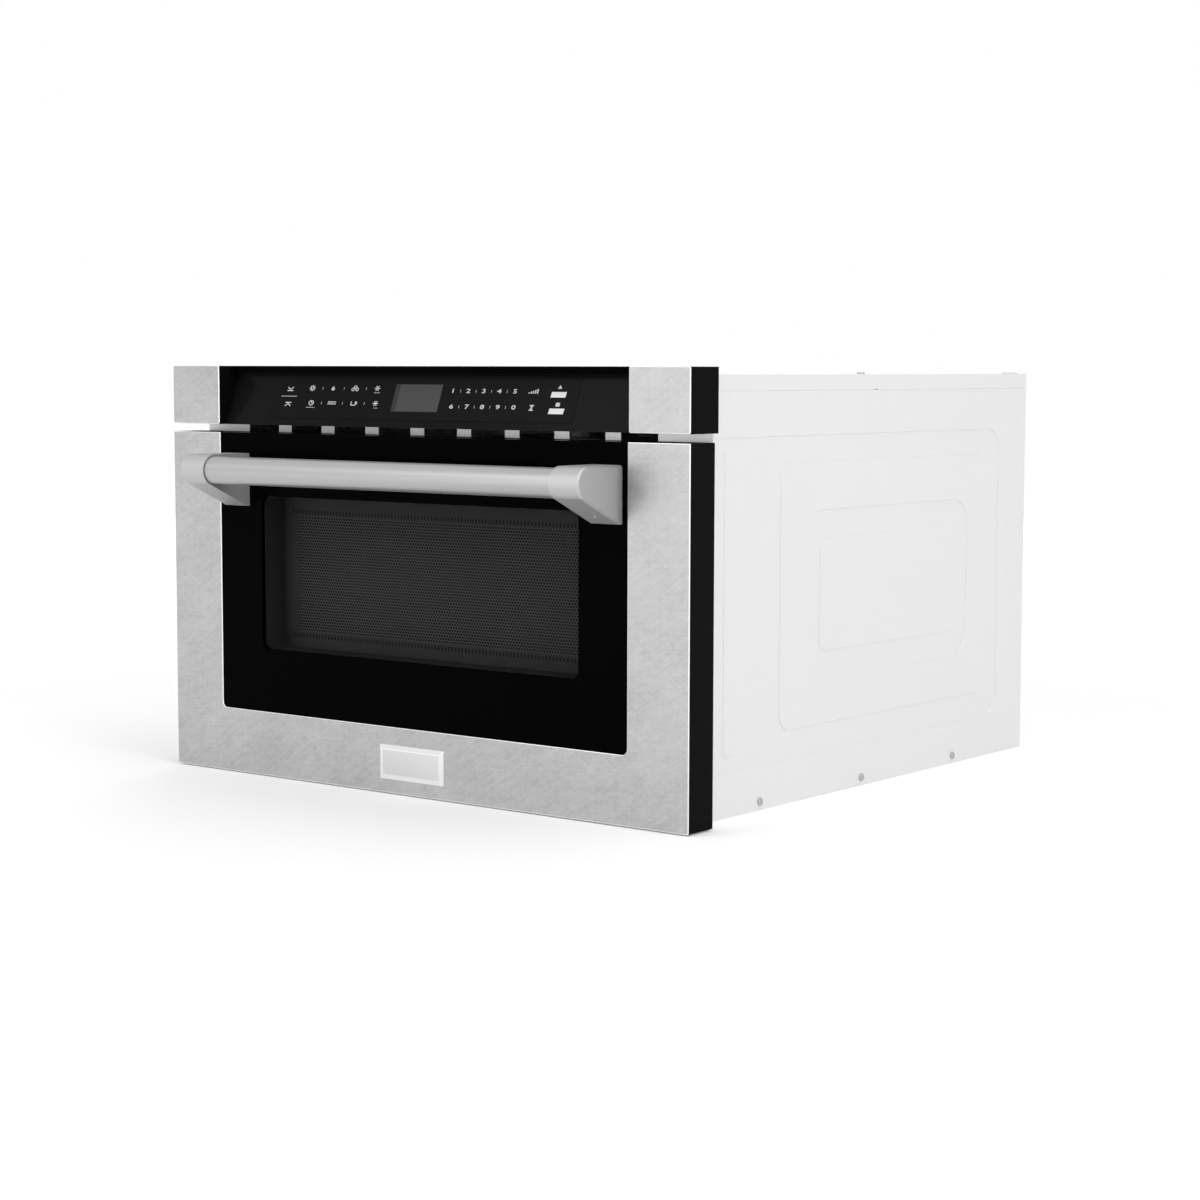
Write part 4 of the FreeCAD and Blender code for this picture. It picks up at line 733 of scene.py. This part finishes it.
def flake(ink, u, v):
    for turn in (0, 60, 120):
        ink.bar(u, v, 4.6, ink.line, turn)


def clock(ink, u, v):
    ink.arc(u, v, 1.9)
    ink.bar(u, v + 0.6, ink.line, 1.4)
    ink.bar(u + 0.5, v, 1.2, ink.line)


def waves(ink, u, v):
    for du in (-2.4, 0.0, 2.4):
        ink.arc(u + du, v, 1.0, 20, 140)
        ink.arc(u + du, v - 1.6, 1.0, 20, 140)


def cup(ink, u, v):
    ink.bar(u - 1.8, v, ink.line, 3.2)
    ink.bar(u + 1.8, v, ink.line, 3.2)
    ink.bar(u, v - 1.5, 3.6, ink.line)
    ink.arc(u + 2.0, v + 0.3, 1.0, -90, 180)


def bars(ink, u, v):
    for step in range(5):
        tall = 0.9 + 0.7 * step
        ink.bar(u - 3.2 + 1.6 * step, v - 1.9 + tall / 2, 0.9, tall)


def hourglass(ink, u, v):
    ink.disc(u, v + 1.0, 1.4, corners=3, turn=-90)
    ink.disc(u, v - 1.0, 1.4, corners=3, turn=90)
    ink.bar(u, v + 1.9, 3.4, ink.line)
    ink.bar(u, v - 1.9, 3.4, ink.line)


def triangle(ink, u, v):
    ink.disc(u, v, 1.9, corners=3)


def square(ink, u, v):
    ink.bar(u, v, 3.0, 3.0)


def chevron(ink, u, v, way):
    ink.bar(u - 1.7, v, 4.4, 0.9, -32 * way)
    ink.bar(u + 1.7, v, 4.4, 0.9, 32 * way)
    ink.bar(u, v - 2.2 * way, 7.4, 0.9)


KEY_SYMBOLS = [
    (gear, -139.7, 36.5), (drop, -113.5, 36.5), (kernels, -86.0, 36.5), (flake, -58.7, 36.7),
    (clock, -136.8, 22.2), (waves, -110.7, 22.4), (cup, -84.1, 22.2), (flake, -56.8, 22.4),
    (bars, 123.1, 35.5), (hourglass, 124.8, 20.4), (triangle, 151.2, 39.0), (square, 152.8, 23.6),
]
DIGIT_ROWS = [("12345", 31.9, 35.0), ("67890", 34.1, 20.4)]
DIGIT_STEP = 17.7
DIVIDERS = [(-126.6, 36.5), (-99.8, 36.5), (-72.3, 36.5), (-123.8, 22.2), (-97.4, 22.2), (-70.4, 22.2)]
BLOCKS = [(151.3, 32.5), (152.8, 17.6)]
BLOCK_SIZE = (16.2, 5.0)
SUB_MARKS = [(-58.1, 32.6, 7.0), (-136.7, 17.8, 11.0), (-55.5, 18.0, 5.0)]
TOUCH_AREA = (-187.5, 173.0, 6.6, 49.9)
DISPLAY = (-36.5, 18.8, 15.0, 41.0)
PANES = [
    # name, finish, slot, area, how much narrower and lower, shift to the right, lift
    ("touch_rim", "film_edge", "black_glass", TOUCH_AREA, (0.0, 0.0), 0.0, 0.03 * MM),
    ("touch_film", "touch_film", "black_glass", TOUCH_AREA, (1.0, 1.0), 0.0, 0.06 * MM),
    ("display_border", "display_dark", "display", DISPLAY, (0.0, 0.0), 0.0, 0.10 * MM),
    ("display_pane", "display_grey", "display", DISPLAY, (5.4, 0.8), 2.6, 0.14 * MM),
]
LEFT_KEY = (-167.0, 36.1, 20.1, 28.4)
FIGURE_FULL = 1.36  # size of the text over the height of its figures
FIGURE_THICK = 0.025
FIGURE_BOLD = 0.09


def digits(marks):
    """The key numbers as one mesh in the plane of the glass, in millimetres."""
    bm = bmesh.new()
    for text, first, level in DIGIT_ROWS:
        for step, figure in enumerate(text):
            curve = bpy.data.curves.new("figure", "FONT")
            curve.body = figure
            curve.align_x = "CENTER"
            curve.align_y = "CENTER"
            curve.size = marks.digit_tall / MM * FIGURE_FULL
            curve.extrude = FIGURE_THICK
            curve.offset = FIGURE_BOLD
            curve.resolution_u = 3
            holder = bpy.data.objects.new("figure", curve)
            mesh = bpy.data.meshes.new_from_object(holder)
            wide = Matrix.Diagonal((marks.digit_stretch, 1.0, 1.0, 1.0))
            mesh.transform(Matrix.Translation((first + DIGIT_STEP * step, level, 0.0)) @ wide)
            bm.from_mesh(mesh)
            bpy.data.objects.remove(holder)
            bpy.data.curves.remove(curve)
            bpy.data.meshes.remove(mesh)
    bmesh.ops.remove_doubles(bm, verts=bm.verts, dist=0.001)
    return bm


def draw_panes(line):
    for name, finish, slot, area, less, shift, lift in PANES:
        left, right, low, high = area
        pane = Printing(line)
        pane.bar((left + right) / 2 + shift, (low + high) / 2,
                 right - left - less[0], high - low - less[1])
        pane.finish(name, finish, slot, lift)


def draw_symbols(line):
    ink = Printing(line)
    for draw, u, v in KEY_SYMBOLS:
        before = set(ink.bm.verts)
        draw(ink, u, v)
        ink.stretch([vert for vert in ink.bm.verts if vert not in before], u, v)
    for u, v in DIVIDERS:
        ink.bar(u, v, 0.4, 2.4)
    for _, first, level in DIGIT_ROWS:
        for step in range(4):
            ink.bar(first + DIGIT_STEP * (step + 0.5), level, 0.4, 2.6)
    for u, v, wide in SUB_MARKS:
        for step in range(round(wide)):
            ink.bar(u + step + 0.5 - wide / 2, v, 0.6, 0.6)
    u, top, bottom, line_level = LEFT_KEY
    chevron(ink, u - 0.6, top, 1)
    chevron(ink, u + 0.9, bottom, -1)
    ink.bar(u, line_level, 20.0, 0.5)
    ink.finish("key_symbols", "print_white", "display", PRINT_LIFT)


def draw_blocks(line):
    blocks = Printing(line)
    for u, v in BLOCKS:
        blocks.slanted_bar(u, v, *BLOCK_SIZE)
    blocks.finish("key_blocks", "block_white", "display", PRINT_LIFT)


# ---------------------------------------------------------------- operators

class OVEN_OT_finishes(bpy.types.Operator):
    """Build every finish and lay it on the nodes of the frame"""
    bl_idname = "oven.finishes"
    bl_label = "Finishes"

    def execute(self, context):
        scene = context.scene
        build_groups()
        for build in (brushed_steel, bright_steel, satin_handle, cast_handle, chassis_sheet):
            build(scene.oven_steel)
        for build in (black_coat, panel_glass, window_glass, recess_black_with_glass_sheen):
            build(scene.oven_black)
        screen_enamel(scene.oven_screen)
        print_white(scene.oven_print)
        plain_finishes()
        tray_glass()
        dressed = set()
        for finish, nodes in NODE_FINISHES.items():
            for node in nodes:
                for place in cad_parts[node].material_slots:
                    place.link = "OBJECT"
                    place.material = bpy.data.materials[finish_name(finish)]
                dressed.add(node)
        bare = set(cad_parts) - dressed
        if bare:
            raise RuntimeError(f"no finish for {sorted(bare)}")
        return {"FINISHED"}


class OVEN_OT_steel_front(bpy.types.Operator):
    """Brushed skin of the drawer front, the two end caps and the bare plate"""
    bl_idname = "oven.steel_front"
    bl_label = "Steel front"

    def execute(self, context):
        steel = context.scene.oven_steel
        edge, steps = steel.skin_edge, steel.rounding_steps
        sheets = [("steel_skin", "front_skin", "drawer"), ("cap_left", "end_cap_left", "chassis"),
                  ("cap_right", "end_cap_right", "chassis")]
        for name, node, body in sheets:
            sheet = rounded_node(name, node, "brushed_steel", body, "brushed_steel", edge, steps)
            # The rounded edge faces get a light steel: a painted highlight along the edges.
            second_finish(sheet, "steel_edge_highlight", is_rounding)
        plate = rounded_node("bare_plate", "badge_plate", "bright_steel", "drawer", "bright_steel",
                             steel.sheet_edge / 2, steps)
        second_finish(plate, "polished_steel", is_slope)
        return {"FINISHED"}


def is_rounding(face):
    """Whether a face looks along no axis, as the narrow faces of a rounded edge do."""
    return max(abs(part) for part in face.normal) < 0.99


def is_slope(face):
    """Whether a face looks anywhere but straight ahead."""
    return face.normal.y > -0.995


class OVEN_OT_black_front(bpy.types.Operator):
    """Black drawer frame and control housing with softened edges"""
    bl_idname = "oven.black_front"
    bl_label = "Black front"

    def execute(self, context):
        steel = context.scene.oven_steel
        edge, steps = steel.sheet_edge, steel.rounding_steps
        door = rounded_node("front_frame_black", "drawer_frame", "black_coat", "drawer", "black_front",
                            edge, steps)
        # The walls behind the window get a lighter black: a painted sheen of the glass in front of them.
        second_finish(door, "recess_black_with_glass_sheen", in_recess)
        rounded_node("housing_black", "control_housing", "black_coat", "chassis", "black_front",
                     edge, steps)
        return {"FINISHED"}


def in_recess(face):
    """Whether a face belongs to the walls of the opening behind the window."""
    low, high = inside_screen(*RECESS_INSET)
    return low.x < face.center.x < high.x and low.z < face.center.z < high.z


class OVEN_OT_handle(bpy.types.Operator):
    """Handle castings with rounded edges, and a painted shade line where each meets the tube"""
    bl_idname = "oven.handle"
    bl_label = "Handle"

    def execute(self, context):
        steel = context.scene.oven_steel
        for side in ("left", "right"):
            node = "handle_bracket_" + side
            rounded_node("bracket_" + side, node, "cast_handle", "drawer", "satin_handle",
                         steel.casting_edge, steel.rounding_steps, is_long)
        add_joint_shade_lines()
        return {"FINISHED"}


JOINT_SHADE_LINE = 0.35 * MM
SHORTEST_ROUNDED = 1.0 * MM


def add_joint_shade_lines():
    """A thin dark ring of painted shade round the tube, in the crease where it meets each casting."""
    low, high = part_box("handle_tube")
    middle, radius = (low + high) / 2, (high.z - low.z) / 2
    bm = bmesh.new()
    upright = Matrix.Rotation(math.radians(90), 4, "X")
    for joint in (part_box("handle_bracket_left")[1].x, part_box("handle_bracket_right")[0].x):
        place = Matrix.Translation((joint, middle.y, middle.z + radius)) @ upright
        section = bmesh.ops.create_circle(bm, segments=8, radius=JOINT_SHADE_LINE, matrix=place)["verts"]
        spin_section(bm, section, (joint, middle.y, middle.z), (1, 0, 0), math.tau, 48, True)
    bmesh.ops.recalc_face_normals(bm, faces=bm.faces)
    piece("tube_joint_shade_lines", bm, "slit_and_crease_shade", "drawer", "satin_handle")


def is_long(edge):
    """Whether an edge is longer than those round the set screws' holes."""
    return edge.calc_length() > SHORTEST_ROUNDED


SLITS_PAST_FIELD = 9.0 * MM
SLITS_OFF_FIELD = 2.0 * MM


class OVEN_OT_screen(bpy.types.Operator):
    """Two rows of slits in the screen behind the window, drawn as dark blocks of painted shade"""
    bl_idname = "oven.screen"
    bl_label = "Screen"

    def execute(self, context):
        screen = context.scene.oven_screen
        low, high = inside_screen(*FIELD_INSET)
        face = low.y
        bm = bmesh.new()
        count = int((high.x - low.x + 2 * SLITS_PAST_FIELD) / screen.slit_pitch)
        start = (low.x + high.x) / 2 - screen.slit_pitch * (count - 1) / 2
        for level in (low.z - SLITS_OFF_FIELD - screen.slit_tall, high.z + SLITS_OFF_FIELD):
            for step in range(count):
                x = start + step * screen.slit_pitch
                # each slit is a dark block on the screen: painted shade
                block(bm, (x - screen.slit_wide / 2, face - 0.1 * MM, level),
                      (x + screen.slit_wide / 2, face + 0.2 * MM, level + screen.slit_tall))
        across = [edge for edge in bm.edges if abs((edge.verts[0].co - edge.verts[1].co).y) > 0.2 * MM]
        bevel(bm, across, screen.slit_wide * 0.45, 2)
        piece("screen_slit_shades", bm, "slit_and_crease_shade", "drawer", "screen_metal")
        return {"FINISHED"}


class OVEN_OT_panel_print(bpy.types.Operator):
    """Touch film, display pane, numbers and symbols on the leaning glass"""
    bl_idname = "oven.panel_print"
    bl_label = "Panel print"

    def execute(self, context):
        marks = context.scene.oven_print
        line = marks.line_wide / MM
        draw_panes(line)
        draw_symbols(line)
        draw_blocks(line)
        lay_on_panel("key_numbers", digits(marks), "print_white", "display", PRINT_LIFT)
        return {"FINISHED"}


# Places behind the front, in millimetres.
SIDE_SCREWS = (139.0, 304.0, 470.0)
COVER_SCREW = 310.0
COVER_NOTCH = (320.0, 325.0)
COVER_TAB = (583.0, 595.0)
# Height of the side screws, and how far in from the sides the cover's hardware stands.
SIDE_SCREW_LEVEL = 7.5 * MM
COVER_MARGIN = 9.0 * MM


class OVEN_OT_chassis(bpy.types.Operator):
    """Pressed side panels with softened steps, screws, and the cover's hooks and notches"""
    bl_idname = "oven.chassis"
    bl_label = "Chassis"

    def execute(self, context):
        steel = context.scene.oven_steel
        for side in ("left", "right"):
            node = "side_panel_" + side
            rounded_node("pressed_side_" + side, node, "chassis_sheet", "chassis", "chassis_sheet",
                         steel.sheet_edge, 2)
        bm = bmesh.new()
        for side in (-1, 1):
            turn = Matrix.Rotation(math.radians(90 * side), 4, "Y")
            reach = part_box("side_panel_right")[1].x * side
            for spot in SIDE_SCREWS:
                add_screw(bm, Matrix.Translation((reach, FRONT + spot * MM, SIDE_SCREW_LEVEL)) @ turn)
        piece("side_screws", bm, "screw_steel", "chassis", "zinc_steel", "chassis_screws")
        add_cover_details()
        return {"FINISHED"}


def add_cover_details():
    """Screws and hooks on top of the cover, and at each side a thin dark block of painted shade for a
    notch in the lip.
    """
    low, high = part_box("top_cover")
    screws, hooks, notch_shades = bmesh.new(), bmesh.new(), bmesh.new()
    for side in (-1, 1):
        inward = side * (high.x - COVER_MARGIN)
        add_screw(screws, Matrix.Translation((inward, FRONT + COVER_SCREW * MM, high.z)))
        block(hooks, (inward - 5.0 * MM, FRONT + COVER_TAB[0] * MM, high.z - 0.2 * MM),
              (inward + 5.0 * MM, FRONT + COVER_TAB[1] * MM, high.z + 1.6 * MM))
        reach = side * high.x
        # a thin dark block: painted shade in the notch
        block(notch_shades, (reach - 0.15 * MM, FRONT + COVER_NOTCH[0] * MM, low.z - 0.2 * MM),
              (reach + 0.15 * MM, FRONT + COVER_NOTCH[1] * MM, low.z + 0.5 * MM))
    round_edges(hooks, 0.5 * MM, 3)
    round_edges(notch_shades, 0.1 * MM, 2)
    piece("cover_screws", screws, "screw_steel", "chassis", "zinc_steel")
    piece("cover_hooks", hooks, "chassis_sheet", "chassis", "chassis_sheet")
    piece("cover_notch_shades", notch_shades, "notch_shade", "chassis", "chassis_sheet")


def add_screw(bm, place):
    """A pan head with a cross recess, standing on the plane at its place."""
    radius, rise, rounding = 3.6 * MM, 1.8 * MM, 1.2 * MM
    slot = (3.4 * MM, 0.7 * MM, 0.1 * MM)
    fresh = bmesh.ops.create_cone(bm, cap_ends=True, segments=24, radius1=radius, radius2=radius,
                                  depth=rise, matrix=Matrix.Translation((0, 0, rise / 2)))["verts"]
    touching = dict.fromkeys(edge for vert in fresh for edge in vert.link_edges)
    top = [edge for edge in touching if all(vert.co.z > rise * 0.9 for vert in edge.verts)]
    made = bevel(bm, top, rounding, 3)
    own = {vert for vert in fresh if vert.is_valid} | set(made["verts"])
    for turn in (0, 90):
        arm = Matrix.Translation((0, 0, rise)) @ Matrix.Rotation(math.radians(turn), 4, "Z")
        size = Matrix.Diagonal((*slot, 1.0))
        own |= set(bmesh.ops.create_cube(bm, size=1.0, matrix=arm @ size)["verts"])
    bmesh.ops.transform(bm, matrix=place, verts=list(own))


class OVEN_OT_stage(bpy.types.Operator):
    """Pale floor, soft lamps and the camera"""
    bl_idname = "oven.stage"
    bl_label = "Stage"

    def execute(self, context):
        stage = context.scene.oven_stage
        build_floor(stage)
        build_world(stage)
        for name, place, size, share in LAMPS:
            build_lamp(name, place, size, stage.lamp_watts * share)
        build_camera()
        context.scene.view_settings.view_transform = "Standard"
        return {"FINISHED"}


LAMPS = [
    # name, place, width, share of the power
    ("left_box", (-1.3, -2.6, 2.0), 1.6, 0.62),
    ("low_box", (-0.7, -2.3, 0.45), 0.9, 0.22),
    ("right_box", (3.2, -0.9, 1.4), 1.8, 1.1),
    ("top_box", (1.6, -0.4, 3.0), 1.8, 0.75),
    ("rear_box", (-2.0, 2.6, 1.8), 1.8, 0.8),
]


FLOOR_RADIUS = 30.0
# The floor's own light, near the object and from a distance on, and its extra in reflections.
GLOW_DISTANCES = (0.8, 3.0)
GLOW_LEVELS = (0.18, 0.45)
GLOW_IN_GLOSS = 0.16
LAMP_TARGET = Vector((0, 0, 0.2))


def build_floor(stage):
    bm = bmesh.new()
    bmesh.ops.create_circle(bm, cap_ends=True, segments=64, radius=FLOOR_RADIUS)
    mesh = mesh_of("floor", bm)
    made = bpy.data.materials.new("floor_paper")
    made.use_nodes = True
    graph = Graph(made.node_tree)
    paper = graph.add("ShaderNodeBsdfDiffuse", {"Color": (*stage.floor_color, 1.0)})
    away = graph.vector("LENGTH", graph.place())
    level = seen_directly(graph, graph.ramp(away, *GLOW_DISTANCES, *GLOW_LEVELS), GLOW_IN_GLOSS)
    glow = graph.add("ShaderNodeEmission", {"Color": (1, 1, 1, 1), "Strength": level})
    both = graph.add("ShaderNodeAddShader", {0: paper.outputs["BSDF"], 1: glow.outputs["Emission"]})
    graph.close("ShaderNodeOutputMaterial", both.outputs["Shader"])
    mesh.materials.append(made)
    place_object("floor", mesh)


def seen_directly(graph, level, in_gloss=0.0):
    """A level for camera, glossy and transmission rays, more in gloss, and nought for the rest."""
    path = graph.add("ShaderNodeLightPath").outputs
    seen = graph.math("MAXIMUM", path["Is Camera Ray"], path["Is Glossy Ray"])
    seen = graph.math("MAXIMUM", seen, path["Is Transmission Ray"])
    more = graph.math("MULTIPLY", path["Is Glossy Ray"], in_gloss)
    return graph.math("MULTIPLY_ADD", seen, level, more)


def build_world(stage):
    world = bpy.data.worlds.new("white_room")
    world.use_nodes = True
    graph = Graph(world.node_tree)
    seen = seen_directly(graph, 1.0)
    strength = graph.ramp(seen, 0.0, 1.0, stage.sky_level, 1.0)
    room = graph.add("ShaderNodeBackground", {"Color": (1, 1, 1, 1), "Strength": strength})
    graph.close("ShaderNodeOutputWorld", room.outputs["Background"])
    bpy.context.scene.world = world


def build_lamp(name, place, size, watts):
    light = bpy.data.lights.new(name, "AREA")
    light.shape = "SQUARE"
    light.size = size
    light.energy = watts
    lamp = place_object(name, light)
    lamp.location = place
    toward = LAMP_TARGET - Vector(place)
    lamp.rotation_euler = toward.to_track_quat("-Z", "Y").to_euler()


CAMERA_PLACE = Vector((1.47494, -1.89945, 0.38078))
CAMERA_YAW = math.radians(-37.870)
CAMERA_PITCH = math.radians(5.326)
CAMERA_ROLL = math.radians(0.122)
CAMERA_LENS = 74.58


def build_camera():
    ahead = Vector((math.sin(CAMERA_YAW) * math.cos(CAMERA_PITCH),
                    math.cos(CAMERA_YAW) * math.cos(CAMERA_PITCH), -math.sin(CAMERA_PITCH)))
    level = Vector((math.cos(CAMERA_YAW), -math.sin(CAMERA_YAW), 0))
    over = level.cross(ahead)
    across = level * math.cos(CAMERA_ROLL) + over * math.sin(CAMERA_ROLL)
    up = over * math.cos(CAMERA_ROLL) - level * math.sin(CAMERA_ROLL)
    data = bpy.data.cameras.new("camera")
    data.lens = CAMERA_LENS
    camera = place_object("camera", data)
    turned = Matrix((across, up, -ahead)).transposed().to_4x4()
    camera.matrix_world = Matrix.Translation(CAMERA_PLACE) @ turned
    bpy.context.scene.camera = camera


# ---------------------------------------------------------------- add-on

OPERATORS = [
    OVEN_OT_finishes, OVEN_OT_steel_front, OVEN_OT_black_front, OVEN_OT_handle, OVEN_OT_screen,
    OVEN_OT_panel_print, OVEN_OT_chassis, OVEN_OT_stage,
]
SETTINGS = {
    "oven_steel": SteelSettings,
    "oven_black": BlackSettings,
    "oven_screen": ScreenSettings,
    "oven_print": PrintSettings,
    "oven_stage": StageSettings,
}


class OVEN_PT_dressing(bpy.types.Panel):
    """Builders and settings of the microwave drawer"""
    bl_idname = "OVEN_PT_dressing"
    bl_label = "Microwave drawer"
    bl_space_type = "VIEW_3D"
    bl_region_type = "UI"
    bl_category = "Oven"

    def draw(self, context):
        for operator in OPERATORS:
            self.layout.operator(operator.bl_idname)
        for name, group in SETTINGS.items():
            box = self.layout.box()
            for label in group.__annotations__:
                box.prop(getattr(context.scene, name), label)


CLASSES = [*SETTINGS.values(), *OPERATORS, OVEN_PT_dressing]


def register():
    for kind in CLASSES:
        bpy.utils.register_class(kind)
    for name, group in SETTINGS.items():
        setattr(bpy.types.Scene, name, PointerProperty(type=group))


def unregister():
    for name in SETTINGS:
        delattr(bpy.types.Scene, name)
    for kind in reversed(CLASSES):
        bpy.utils.unregister_class(kind)


def main():
    register()
    for operator in OPERATORS:
        family, name = operator.bl_idname.split(".")
        getattr(getattr(bpy.ops, family), name)()


if __name__ == "__main__":
    main()
